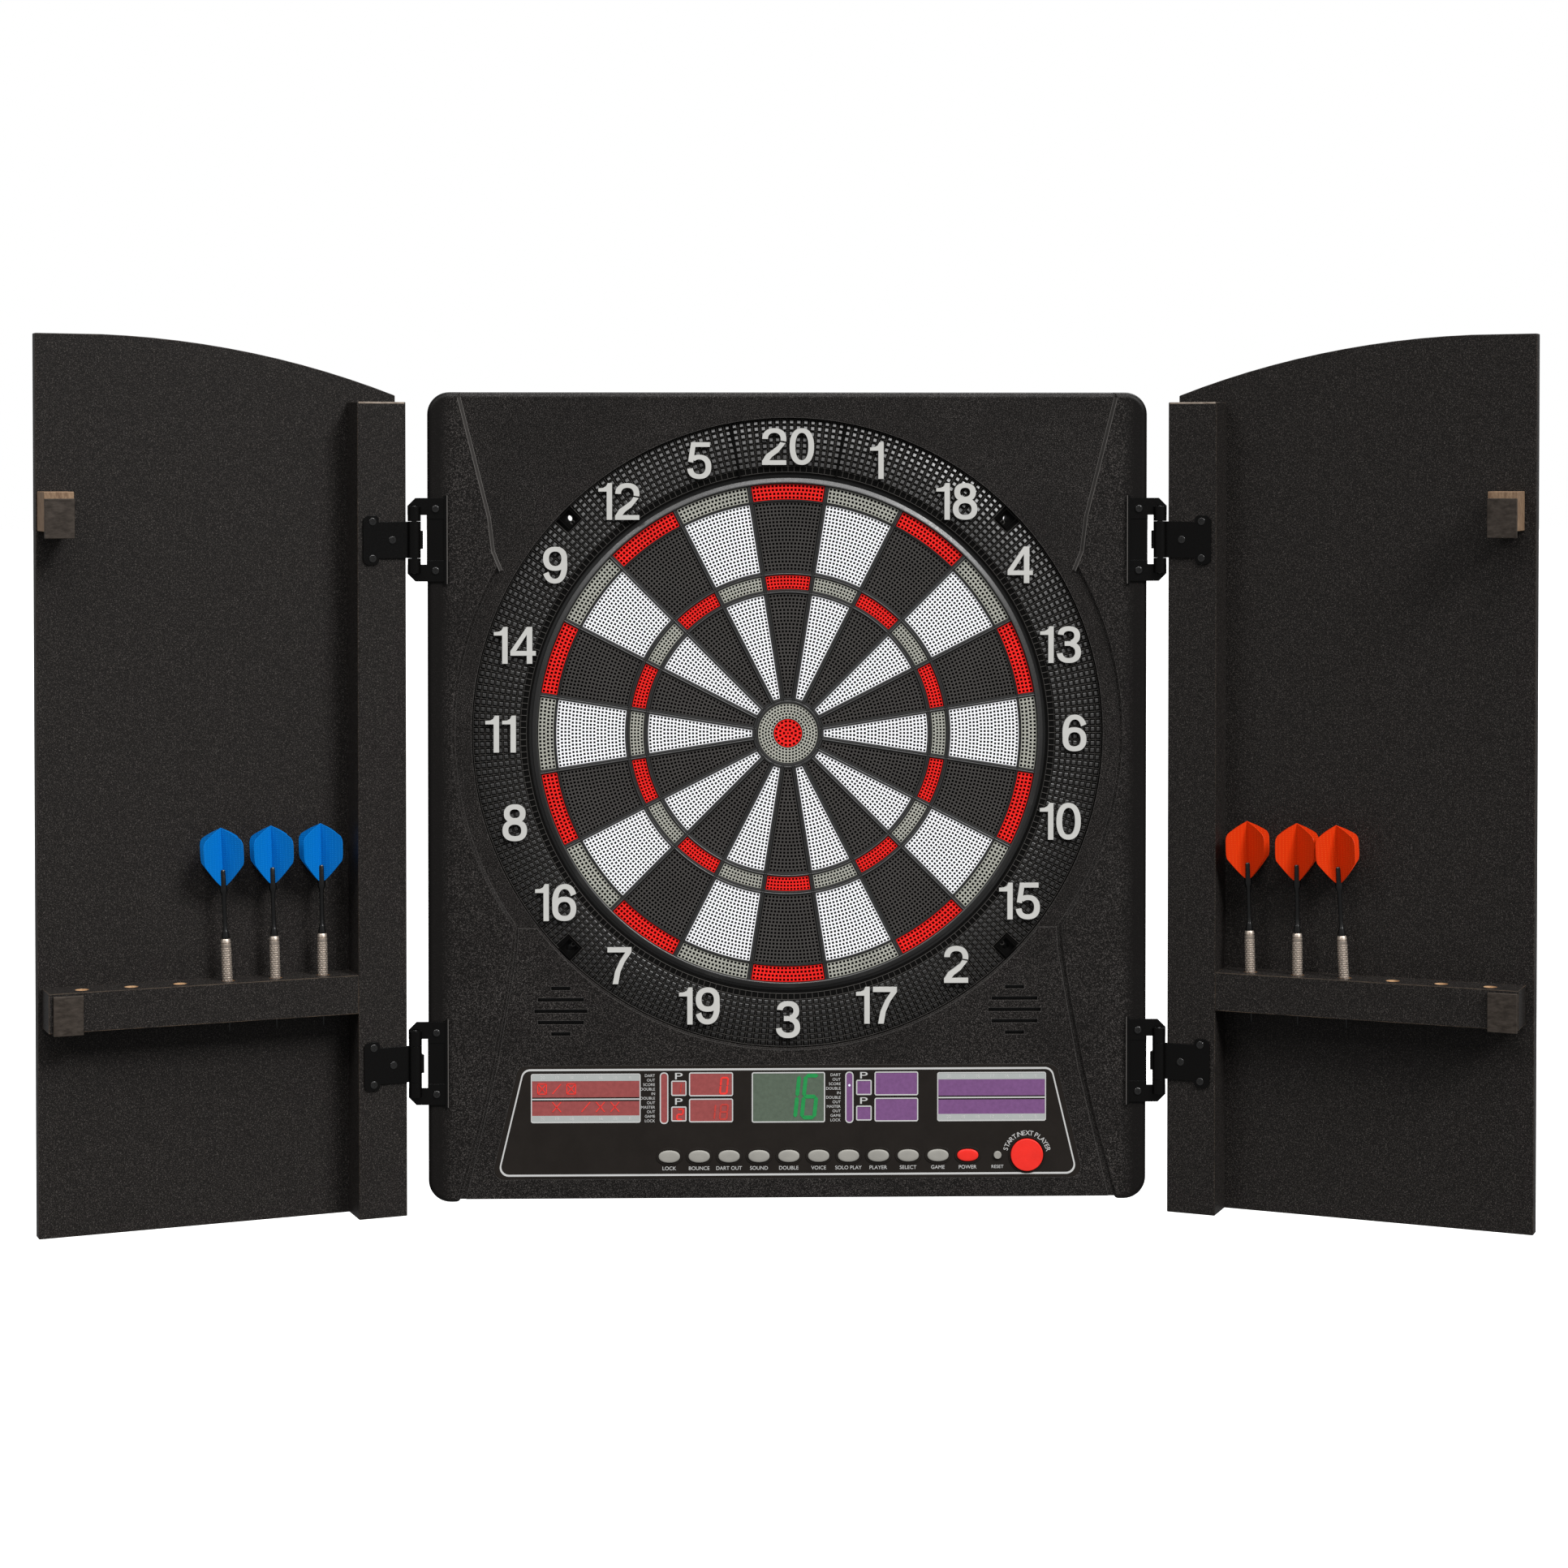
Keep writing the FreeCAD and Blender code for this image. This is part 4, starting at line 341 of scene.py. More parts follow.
class Batch:
    """Vertices and faces of one piece, gathered in millimetres."""

    def __init__(self):
        self.points, self.faces, self.slots = [], [], []

    def add(self, points, faces, slot=0, matrix=None):
        """Adds points and faces; slot is a material's place, or a list with one for each face."""
        start = len(self.points)
        if matrix is not None:
            points = [matrix @ Vector(point) for point in points]
        self.points.extend(tuple(point) for point in points)
        self.faces.extend([start + index for index in face] for face in faces)
        self.slots.extend(slot if isinstance(slot, list) else [slot] * len(faces))

    def prism(self, outline, front, back, slot=0, matrix=None):
        """A plate whose outline is (x, z) points, counter-clockwise seen from the front."""
        count = len(outline)
        points = [(x, front, z) for x, z in outline] + [(x, back, z) for x, z in outline]
        faces = [list(range(count)), list(range(2 * count - 1, count - 1, -1))]
        faces += [[i, i + count, (i + 1) % count + count, (i + 1) % count] for i in range(count)]
        self.add(points, faces, slot, matrix)

    def strip(self, outer, inner, front, back, closed=True):
        """A plate between two outlines with the same number of points, joined at the ends or capped there."""
        count = len(outer)
        points = [(x, y, z) for y in (front, back) for ring in (outer, inner) for x, z in ring]
        faces = []
        for i in range(count if closed else count - 1):
            j = (i + 1) % count
            faces.append([i, j, count + j, count + i])
            faces.append([2 * count + j, 2 * count + i, 3 * count + i, 3 * count + j])
            faces.append([j, i, 2 * count + i, 2 * count + j])
            faces.append([count + i, count + j, 3 * count + j, 3 * count + i])
        if not closed:
            last = count - 1
            faces.append([0, count, 3 * count, 2 * count])
            faces.append([count + last, last, 2 * count + last, 3 * count + last])
        self.add(points, faces)

    def box(self, low, high, slot=0, matrix=None):
        outline = ((low[0], low[2]), (high[0], low[2]), (high[0], high[2]), (low[0], high[2]))
        self.prism(outline, low[1], high[1], slot, matrix)

    def turned(self, profile, steps, slot=0, matrix=None):
        """A closed profile of (radius, height) points turned round +Z."""
        count = len(profile)
        points = []
        for step in range(steps):
            angle = TAU * step / steps
            points += [(r * math.cos(angle), r * math.sin(angle), h) for r, h in profile]
        faces = []
        for step in range(steps):
            here, there = step * count, (step + 1) % steps * count
            for i in range(count):
                j = (i + 1) % count
                faces.append([here + i, there + i, there + j, here + j])
        self.add(points, faces, slot, matrix)

    def tidy(self):
        """Turns faces outwards where an outline was drawn the other way round."""
        mesh = bmesh.new()
        spots = [mesh.verts.new(point) for point in self.points]
        for face in self.faces:
            mesh.faces.new([spots[index] for index in face])
        bmesh.ops.recalc_face_normals(mesh, faces=mesh.faces)
        mesh.verts.index_update()
        self.faces = [[vertex.index for vertex in face.verts] for face in mesh.faces]
        mesh.free()

    def build(self, name, materials, body, slot, smooth=None, bevel=None, replaces=()):
        """Makes the piece, in metres, riding on a body in place of the CAD nodes that it replaces."""
        mesh = bpy.data.meshes.new(name)
        mesh.from_pydata([(x / 1000, y / 1000, z / 1000) for x, y, z in self.points], [], self.faces)
        for material in materials:
            mesh.materials.append(material)
        mesh.polygons.foreach_set("material_index", self.slots)
        mesh.update()
        piece = bpy.data.objects.new(name, mesh)
        bpy.context.scene.collection.objects.link(piece)
        if smooth is not None:
            mesh.shade_smooth()
            mesh.set_sharp_from_angle(angle=math.radians(smooth))
        if bevel:
            soften(piece, bevel)
        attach(piece, body)
        if replaces:
            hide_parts(*replaces)


def soften(piece, width, from_cad=False):
    """Rounds a piece's sharp edges with modifiers; a CAD mesh's flat faces are merged first."""
    if from_cad:
        joined = piece.modifiers.new("joined", "WELD")
        joined.merge_threshold = 0.00002
        merged = piece.modifiers.new("merged", "DECIMATE")
        merged.decimate_type = "DISSOLVE"
        merged.angle_limit = math.radians(1)
    rounded = piece.modifiers.new("rounded", "BEVEL")
    rounded.width = width / 1000
    rounded.segments = 2
    rounded.limit_method = "ANGLE"
    rounded.angle_limit = math.radians(32)
    rounded.use_clamp_overlap = True
    if from_cad:
        shaded = piece.modifiers.new("shaded", "WEIGHTED_NORMAL")
        shaded.weight = 100
    else:
        rounded.harden_normals = True


def rounded_rectangle(left, right, bottom, top, radius, steps=6):
    """Outline points, counter-clockwise from the bottom right corner."""
    outline = []
    corners = ((right, bottom, -90), (right, top, 0), (left, top, 90), (left, bottom, 180))
    for x, z, start in corners:
        centre_x = x - radius if x == right else x + radius
        centre_z = z + radius if z == bottom else z - radius
        for step in range(steps + 1):
            angle = math.radians(start + 90 * step / steps)
            outline.append((centre_x + radius * math.cos(angle), centre_z + radius * math.sin(angle)))
    return outline


def ellipse(x, z, wide, tall, steps=48):
    """Outline of an oval with half axes wide and tall, its ends a little fuller than an ellipse's."""
    outline = []
    for step in range(steps):
        cos, sin = math.cos(TAU * step / steps), math.sin(TAU * step / steps)
        size = (abs(cos) ** 2.2 + abs(sin) ** 2.2) ** (-1 / 2.2)
        outline.append((x + wide * cos * size, z + tall * sin * size))
    return outline


def circle(x, z, radius, steps=48):
    turns = [TAU * step / steps for step in range(steps)]
    return [(x + radius * math.cos(turn), z + radius * math.sin(turn)) for turn in turns]


def lettering(words, height, width=None):
    """Front-facing outline of a word as (x, z) points and faces, centred, its capitals height tall."""
    curve = bpy.data.curves.new("lettering", "FONT")
    curve.body = words
    curve.align_x, curve.align_y = "CENTER", "CENTER"
    curve.resolution_u = 6
    item = bpy.data.objects.new("lettering", curve)
    bpy.context.scene.collection.objects.link(item)
    bpy.context.view_layer.update()
    mesh = bpy.data.meshes.new_from_object(item.evaluated_get(bpy.context.evaluated_depsgraph_get()))
    points = [(v.co.x, v.co.y) for v in mesh.vertices]
    faces = [list(polygon.vertices) for polygon in mesh.polygons]
    bpy.data.objects.remove(item)
    bpy.data.curves.remove(curve)
    bpy.data.meshes.remove(mesh)
    xs, zs = [p[0] for p in points], [p[1] for p in points]
    tall, wide = max(zs) - min(zs), max(xs) - min(xs)
    scale_z = height / tall
    scale_x = width / wide if width else scale_z
    middle_x, middle_z = (max(xs) + min(xs)) / 2, (max(zs) + min(zs)) / 2
    return [((x - middle_x) * scale_x, (z - middle_z) * scale_z) for x, z in points], faces


def raise_letters(batch, letters, x, z, front, back, turn=0.0):
    """Adds lettering as plates from back to front, turned clockwise by an angle."""
    flat, faces = letters
    cos, sin = math.cos(turn), math.sin(turn)
    spots = [(x + u * cos + v * sin, z - u * sin + v * cos) for u, v in flat]
    count = len(spots)
    points = [(a, front, b) for a, b in spots] + [(a, back, b) for a, b in spots]
    edges = dict.fromkeys(edge for face in faces for edge in zip(face, face[1:] + face[:1]))
    walls = [[j, i, i + count, j + count] for i, j in edges if (j, i) not in edges]
    plates = faces + [[i + count for i in reversed(face)] for face in faces]
    batch.add(points, plates + walls)


# ---------------------------------------------------------------- target

SECTORS = 20
NUMBERS = (20, 1, 18, 4, 13, 6, 10, 15, 2, 17, 3, 19, 7, 16, 8, 11, 14, 9, 12, 5)
SEGMENT_FACE = reach("double_segments")[0].y
SEGMENT_BACK = reach("double_segments")[1].y
SPIDER_FACE = reach("segment_spider")[0].y
SPIDER_BACK = reach("segment_spider")[1].y
WEB = 3.0
GAP = 0.4
HOLE_DEPTH = 3.2
# inner and outer radius, rows of holes, CAD node and the materials of even and odd sectors
SCORING_RINGS = (
    (180.4, 192.2, 4, "double_segments", (RED, GREY), (HOLE_RED, HOLE)),
    (125.6, 178.3, 19, "outer_single_segments", (BLACK, WHITE), (HOLE, HOLE_WHITE)),
    (111.5, 121.7, 4, "triple_segments", (RED, GREY), (HOLE_RED, HOLE)),
    (27.7, 107.6, 29, "inner_single_segments", (BLACK, WHITE), (HOLE, HOLE_WHITE)),
)


def perforated(batch, radii, counts, half_angle, middle, slots, share=0.6, closed=False):
    """A plate of rows of cells between radii, each cell with a square blind hole.

    half_angle(radius) is half the plate's angle at that radius. The plate is watertight: an arc between two
    rows carries the corners of both.
    """
    face, hole = slots
    rows = len(counts)
    points, faces, kinds = [], [], []

    def spot(radius, part, y):
        angle = middle + half_angle(radius) * (2 * part - 1)
        points.append(around(radius, angle, y))
        return len(points) - 1

    arcs = []
    for row in range(rows + 1):
        near = [counts[row - 1]] if row else []
        far = [counts[row]] if row < rows else []
        parts = sorted({round(i / n, 6) for n in near + far for i in range(n + 1)})
        indices = [spot(radii[row], part, SEGMENT_FACE) for part in parts[:-1]]
        indices.append(indices[0] if closed else spot(radii[row], parts[-1], SEGMENT_FACE))
        arcs.append((parts, indices))

    def along(row, start, end):
        parts, indices = arcs[row]
        return [index for part, index in zip(parts, indices) if start - 1e-5 <= part <= end + 1e-5]

    for row, count in enumerate(counts):
        low, high = radii[row], radii[row + 1]
        margin = (high - low) * (1 - share) / 2
        for cell in range(count):
            start, end = cell / count, (cell + 1) / count
            inset = (end - start) * (1 - share) / 2
            corners = ((low + margin, start + inset), (low + margin, end - inset))
            corners += ((high - margin, end - inset), (high - margin, start + inset))
            top = [spot(radius, part, SEGMENT_FACE) for radius, part in corners]
            deep = [spot(radius, part, SEGMENT_FACE + HOLE_DEPTH) for radius, part in corners]
            inner, outer = along(row, start, end), along(row + 1, start, end)
            faces += [
                inner + [top[1], top[0]],
                outer[::-1] + [top[3], top[2]],
                [inner[-1], outer[-1], top[2], top[1]],
                [outer[0], inner[0], top[0], top[3]],
            ]
            kinds += [face] * 4
            faces += [[top[i], top[(i + 1) % 4], deep[(i + 1) % 4], deep[i]] for i in range(4)]
            faces.append(deep)
            kinds += [hole] * 5

    def wall(loop):
        back = []
        for index in loop:
            x, _, z = points[index]
            points.append((x, SEGMENT_BACK, z))
            back.append(len(points) - 1)
        for i in range(len(loop)):
            j = (i + 1) % len(loop)
            faces.append([loop[j], loop[i], back[i], back[j]])
            kinds.append(face)
        return back

    if closed:
        wall(arcs[0][1][:-1])
        wall(arcs[-1][1][:-1][::-1])
    else:
        right_side = [arcs[row][1][-1] for row in range(1, rows)]
        left_side = [arcs[row][1][0] for row in range(rows - 1, 0, -1)]
        back = wall(arcs[0][1] + right_side + arcs[-1][1][::-1] + left_side)
        faces.append(back[::-1])
        kinds.append(face)
    batch.add(points, faces, kinds)


def segment_angle(radius):
    """Half the angle of a segment at a radius, its sides parallel to the webs."""
    return math.pi / SECTORS - math.asin((WEB / 2 + GAP) / radius)


def scoring_segments():
    for inner, outer, rows, node, tops, holes in SCORING_RINGS:
        pitch = (outer - inner) / rows
        radii = [inner + pitch * row for row in range(rows + 1)]
        counts = []
        for row in range(rows):
            middle = (radii[row] + radii[row + 1]) / 2
            counts.append(max(1, round(2 * middle * segment_angle(middle) / pitch)))
        batch = Batch()
        for sector in range(SECTORS):
            odd = sector % 2
            perforated(batch, radii, counts, segment_angle, TAU * sector / SECTORS, (odd, 2 + odd))
        batch.build(node + "_perforated", (*tops, *holes), node + "_body", node_slot(node), replaces=(node,))


def node_slot(node):
    """The record's material slot of a CAD node."""
    for row in frame["record"]["subparts"]:
        if row["node"] == node:
            return row["material_slot"]
    return None


def bull():
    outer = Batch()
    radii = [11.4 + 2.3 * row for row in range(6)]
    counts = [round(TAU * (radius + 1.15) / 2.6) for radius in radii[:-1]]
    perforated(outer, radii, counts, lambda radius: math.pi, 0.0, (0, 1), closed=True)
    name = "outer_bull_segment"
    outer.build(name + "_perforated", (GREY, HOLE), name + "_body", node_slot(name), replaces=(name,))

    centre = Batch()
    radii = [1.55, 4.6, 7.7, 10.8]
    perforated(centre, radii, [6, 12, 18], lambda radius: math.pi, 0.0, (0, 1), 0.55, closed=True)
    # the middle hole with the flat round it
    steps = 24
    levels = ((radii[0], 0.02), (0.8, 0.02), (0.8, HOLE_DEPTH))
    turns = [TAU * step / steps for step in range(steps)]
    points = [around(radius, turn, SEGMENT_FACE + deep) for radius, deep in levels for turn in turns]
    floor = list(range(3 * steps - 1, 2 * steps - 1, -1))
    centre.add(points, loft(steps, 3, False) + [floor])
    name = "inner_bull_segment"
    centre.build(name + "_perforated", (RED, HOLE_RED), name + "_body", node_slot(name), replaces=(name,))


def ring_of(batch, section):
    """Turns a section of (radius, y) points round the bull's axis."""
    facing = Matrix(((1, 0, 0), (0, 0, 1), (0, -1, 0)))
    batch.turned(section, 360, 0, facing.to_4x4())


def web_section(inner, outer):
    """A web's section: chamfered edges and a shallow groove along its middle."""
    middle, face = (inner + outer) / 2, SPIDER_FACE
    front = [(inner, face + 0.7), (inner + 0.5, face), (middle - 0.45, face), (middle, face + 0.35)]
    front += [(middle + 0.45, face), (outer - 0.5, face), (outer, face + 0.7)]
    return front + [(outer, SPIDER_BACK), (inner, SPIDER_BACK)]


def spider():
    batch = Batch()
    for inner, outer in ((23.3, 27.3), (108.0, 111.1), (122.1, 125.2), (178.7, 180.0)):
        ring_of(batch, web_section(inner, outer))
    rim = [(192.6, -45.2), (192.8, -46.7), (193.3, -47.1), (194.0, -46.9), (196.8, -45.2), (197.2, -44.6)]
    ring_of(batch, rim + [(197.2, RING_BACK), (226.0, RING_BACK), (226.0, SPIDER_BACK), (192.6, SPIDER_BACK)])
    section = web_section(-WEB / 2, WEB / 2)
    for sector in range(SECTORS):
        turn = Matrix.Rotation(TAU * (sector + 0.5) / SECTORS, 4, "Y")
        points = [(x, y, z) for z in (25.0, 193.4) for x, y in section]
        batch.add(points, loft(len(section), 2), 0, turn)
    node = "segment_spider"
    batch.build("spider_webs", (SPIDER,), "housing", node_slot(node), replaces=(node,))


RING_INNER, RING_OUTER, RING_BACK = 199.5, 243.0, -42.3
NET_CELLS = 272
NET_ROWS = 9
NET_FIRST, NET_PITCH = 201.4, 4.55
MOUNT_X, MOUNT_Z = 168.5, 165.5


def net_surface(radius):
    """The catch ring's front, bowed so that its outer rows lean outwards."""
    part = (radius - RING_INNER) / (RING_OUTER - RING_INNER)
    return -45.4 - 0.9 * math.sin(math.pi * min(1.0, part * 1.25)) + 0.9 * part**3


# half the width of a screw recess, the screw hole's radius and the seams' angles in degrees
NOTCH_HALF, MOUNT_HOLE = 5.8, 2.5
SEAM_ANGLES = (-10.6, 10.6)


def near_notch(radius, angle, margin):
    """True where a wall screw's recess replaces the net."""
    x, _, z = around(radius, angle, 0)
    middle = math.hypot(MOUNT_X, MOUNT_Z)
    across = math.atan2(MOUNT_X, MOUNT_Z)
    turn = math.atan2(abs(x), abs(z)) - across
    return abs(radius * math.cos(turn) - middle) < margin and abs(radius * math.sin(turn)) < margin


def near_seam(angle, margin):
    """True beside one of the two radial seams at the top."""
    return any(abs(math.remainder(angle - math.radians(seam), TAU)) < margin for seam in SEAM_ANGLES)


def catch_ring_plate():
    """The dished plate under the net, open round the four wall screw holes."""
    batch = Batch()
    steps, bands = 720, 24
    width = (RING_OUTER - RING_INNER) / bands
    section = [(RING_INNER + i * width, net_surface(RING_INNER + i * width)) for i in range(bands + 1)]
    section += [(radius, RING_BACK) for radius, _ in reversed(section)]
    count = len(section)
    points = [around(radius, TAU * step / steps, y) for step in range(steps) for radius, y in section]
    faces = []
    for step in range(steps):
        here, there = step * count, (step + 1) % steps * count
        angle = TAU * (step + 0.5) / steps
        for i in range(count):
            middle = (section[i][0] + section[(i + 1) % count][0]) / 2
            if near_notch(middle, angle, NOTCH_HALF - 0.4):
                continue
            j = (i + 1) % count
            faces.append([here + i, here + j, there + j, there + i])
    batch.add(points, faces)
    batch.build("catch_ring_plate", (RING,), "housing", "ring_plastic", smooth=40, replaces=("catch_ring",))


def notches():
    """Square recesses with a round through hole for the wall screws, and the two radial seams."""
    batch = Batch()
    steps = 32
    for side, level in ((1, 1), (1, -1), (-1, -1), (-1, 1)):
        angle = math.atan2(side * MOUNT_X, level * MOUNT_Z)
        turn = Matrix.Rotation(angle, 4, "Y") @ Matrix.Translation((0, 0, math.hypot(MOUNT_X, MOUNT_Z)))
        hole = circle(0, 0, MOUNT_HOLE, steps)
        outer, inner = [], []
        for i in range(steps):
            cos, sin = math.cos(TAU * i / steps), math.sin(TAU * i / steps)
            stretch = 1 / max(abs(cos), abs(sin))
            outer.append((NOTCH_HALF * cos * stretch, NOTCH_HALF * sin * stretch))
            inner.append(((NOTCH_HALF - 0.7) * cos * stretch, (NOTCH_HALF - 0.7) * sin * stretch))
        for outline, within, front in ((outer, inner, -46.9), (inner, hole, -44.2)):
            flat = Batch()
            flat.strip(outline, within, front, RING_BACK - 0.05)
            batch.add(flat.points, flat.faces, 0, turn)
        stop = Batch()
        stop.strip(circle(0, -4.0, 1.7, 20), circle(0, -4.0, 1.2, 20), -44.6, -44.1)
        batch.add(stop.points, stop.faces, 1, turn)
    for seam in SEAM_ANGLES:
        turn = Matrix.Rotation(math.radians(seam), 4, "Y")
        batch.box((-0.7, -47.3, RING_INNER + 0.6), (0.7, -45.0, RING_OUTER - 0.6), 0, turn)
    batch.tidy()
    batch.build("catch_ring_recesses", (RING, NET), "housing", "ring_plastic")


def catch_ring():
    """The catch ring: a dark bowed plate with fine ridges and a stud in each cell."""
    catch_ring_plate()
    notches()
    net = Batch()
    step = TAU / NET_CELLS
    ridge = 0.6
    for cell in range(NET_CELLS):
        angle = step * cell
        turn = Matrix.Rotation(angle, 4, "Y")
        for row in range(NET_ROWS):
            low = NET_FIRST + NET_PITCH * row
            if near_notch(low + NET_PITCH / 2, angle, NOTCH_HALF + 0.6):
                continue
            near, far = net_surface(low), net_surface(low + NET_PITCH)
            points = [(-ridge / 2, near, low), (0, near - 0.55, low), (ridge / 2, near, low)]
            points += [(-ridge / 2, far, low + NET_PITCH), (0, far - 0.55, low + NET_PITCH)]
            points.append((ridge / 2, far, low + NET_PITCH))
            net.add(points, [[0, 1, 4, 3], [1, 2, 5, 4]], 0, turn)
    for row in range(NET_ROWS + 1):
        radius = NET_FIRST + NET_PITCH * row
        face = net_surface(radius)
        section = ((radius - 0.3, face + 0.1), (radius, face - 0.5), (radius + 0.3, face + 0.1))
        for cell in range(NET_CELLS):
            if near_notch(radius, step * (cell + 0.5), NOTCH_HALF + 0.4):
                continue
            points = [around(r, step * (cell + end), y) for end in (0, 1) for r, y in section]
            net.add(points, [[0, 1, 4, 3], [1, 2, 5, 4]])
    net.build("catch_ring_net", (NET,), "housing", "ring_plastic")

    studs = Batch()
    for cell in range(NET_CELLS):
        angle = step * (cell + 0.5)
        turn = Matrix.Rotation(angle, 4, "Y")
        for row in range(1, NET_ROWS):
            middle = NET_FIRST + NET_PITCH * (row + 0.5)
            if near_notch(middle, angle, NOTCH_HALF + 1.5) or near_seam(angle, 0.3 * step):
                continue
            stud(studs, middle, net_surface(middle), row / (NET_ROWS - 1), turn)
    studs.build("catch_ring_studs", (STUD,), "housing", "ring_plastic")


# half width and height of a stud's levels, from its foot to its crown
STUD_LEVELS = ((1.6, -0.1), (1.55, 0.5), (1.4, 0.95), (1.05, 1.2))


def stud(batch, middle, face, part, turn):
    """A square peg with a soft crown that leans outwards more in the outer rows."""
    lean = math.tan(math.radians(6 + 23 * part))
    points = []
    for half, rise in STUD_LEVELS:
        for x, z in ((-half, -half), (half, -half), (half, half), (-half, half)):
            points.append((x, face - rise + (z * lean if rise > 0 else 0.0), middle + z))
    batch.add(points, loft(4, len(STUD_LEVELS), False) + [[12, 13, 14, 15]], 0, turn)


NUMBER_RADIUS, DIGIT_HALF_WIDTH, NARROW_WIDTH = 221.0, 9.4, 10.5
STROKE_SIDE, STROKE_LEVEL = 4.4, 3.6


def bow(x, z, wide, tall, start, end, squareness=2.3):
    """A curved stroke of a digit: its outer and inner points between two angles in degrees."""
    outer, inner = [], []
    steps = max(6, round(abs(end - start) / 9))
    for step in range(steps + 1):
        angle = math.radians(start + (end - start) * step / steps)
        cos, sin = math.cos(angle), math.sin(angle)
        for path, across, up in ((outer, wide, tall), (inner, wide - STROKE_SIDE, tall - STROKE_LEVEL)):
            size = (abs(cos) ** squareness + abs(sin) ** squareness) ** (-1 / squareness)
            path.append((x + across * cos * size, z + up * sin * size))
    return outer, inner


# each digit: curved strokes, then straight-sided pieces; x to the right and z up from its middle
DIGITS = {
    "0": ([(0, 0, 9.4, 14.1, 0, 360)], []),
    "1": ([], [((-5.2, 7.6), (1.2, 7.6), (1.2, -14.1), (5.3, -14.1), (5.3, 14.1), (2.0, 14.1),
                (0.7, 11.6), (-1.6, 10.4), (-5.2, 10.1))]),
    "2": ([(0, 5.6, 9.3, 8.5, 178, -12)],
          [((8.7, 2.6), (4.6, 3.4), (2.9, 0.7), (-0.8, -2.2)),
           ((8.7, 2.6), (-0.8, -2.2), (-6.4, -6.2), (3.2, -4.3)),
           ((3.2, -4.3), (-6.4, -6.2), (-9.4, -11.2), (-3.9, -10.6), (-1.6, -7.8)),
           ((-9.4, -14.1), (9.2, -14.1), (9.2, -10.5), (-9.4, -10.5))]),
    "3": ([(0, 6.9, 8.6, 7.2, 172, -72), (0, -5.9, 9.3, 8.2, 76, -172)],
          [((-3.2, -0.9), (2.8, -0.9), (2.8, 2.5), (-3.2, 2.5))]),
    "4": ([], [((3.0, -14.1), (7.2, -14.1), (7.2, 14.1), (3.0, 14.1)),
               ((-9.6, -7.9), (9.9, -7.9), (9.9, -4.4), (-9.6, -4.4)),
               ((-9.6, -4.4), (-5.3, -4.4), (3.0, 8.2), (3.0, 14.1))]),
    "5": ([(0, -4.8, 9.3, 9.3, 132, -170)],
          [((-6.2, 10.5), (8.2, 10.5), (8.2, 14.1), (-6.2, 14.1)),
           ((-8.5, -0.8), (-4.6, -1.6), (-2.9, 10.5), (-6.2, 14.1))]),
    "6": ([(0.1, -4.9, 9.2, 9.2, 0, 360), (0.4, 0, 9.6, 14.1, 28, 200)], []),
    "7": ([], [((-9.2, 10.4), (9.3, 10.4), (9.3, 14.1), (-9.2, 14.1)),
               ((4.6, 10.4), (0.2, 3.6), (4.2, 3.2), (9.3, 10.4)),
               ((0.2, 3.6), (-3.4, -4.6), (0.7, -4.8), (4.2, 3.2)),
               ((-3.4, -4.6), (-5.2, -14.1), (-0.9, -14.1), (0.7, -4.8))]),
    "8": ([(0, 7.0, 8.3, 7.1, 0, 360), (0, -5.9, 9.4, 8.2, 0, 360)], []),
}


def numbers():
    """The raised numbers round the target."""
    batch = Batch()
    front, back, gap = -49.2, -46.5, 2.4
    # each further stroke of a digit stands this much prouder, so that no two faces lie in one plane
    stagger = 0.03
    for sector, number in enumerate(NUMBERS):
        x, _, z = around(NUMBER_RADIUS, TAU * sector / SECTORS, 0)
        digits = str(number)
        widths = [NARROW_WIDTH if digit == "1" else 2 * DIGIT_HALF_WIDTH for digit in digits]
        left = x - (sum(widths) + gap * (len(digits) - 1)) / 2
        for digit, width in zip(digits, widths):
            flip = -1 if digit == "9" else 1
            bows, pieces = DIGITS["6" if digit == "9" else digit]
            middle = left + width / 2
            rise = 0.0
            for stroke_shape in bows:
                outer, inner = bow(*stroke_shape)
                outer = [(middle + flip * u, z + flip * v) for u, v in outer]
                inner = [(middle + flip * u, z + flip * v) for u, v in inner]
                closed = stroke_shape[5] - stroke_shape[4] == 360
                if closed:
                    outer, inner = outer[:-1], inner[:-1]
                batch.strip(outer, inner, front - rise, back, closed)
                rise += stagger
            for piece in pieces:
                batch.prism([(middle + u, z + v) for u, v in piece], front - rise, back)
                rise += stagger
            left += width + gap
    batch.tidy()
    batch.build("number_ring_digits", (NUMBER,), "housing", "number_white")


# inner edge of the right side rail above its bend, and the width of the slope along it
RAIL_EDGE = ((251.6, 259.0), (228.6, 166.9), (225.5, 140.8), (219.5, 126.0))
RAIL_FACE, RAIL_SLOPE = -50.0, 2.2


def sweep(batch, path, section, slot=0):
    """Sweeps a section of (offset to the right, y) points along a path of (x, z) points."""
    rows = []
    for index, point in enumerate(path):
        here = Vector(point)
        before = (here - Vector(path[index - 1])).normalized() if index else None
        after = (Vector(path[index + 1]) - here).normalized() if index + 1 < len(path) else None
        along = ((before or after) + (after or before)).normalized()
        side = Vector((-along.y, along.x))
        rows += [(here.x + side.x * offset, y, here.y + side.y * offset) for offset, y in section]
    batch.add(rows, loft(len(section), len(path)), slot)


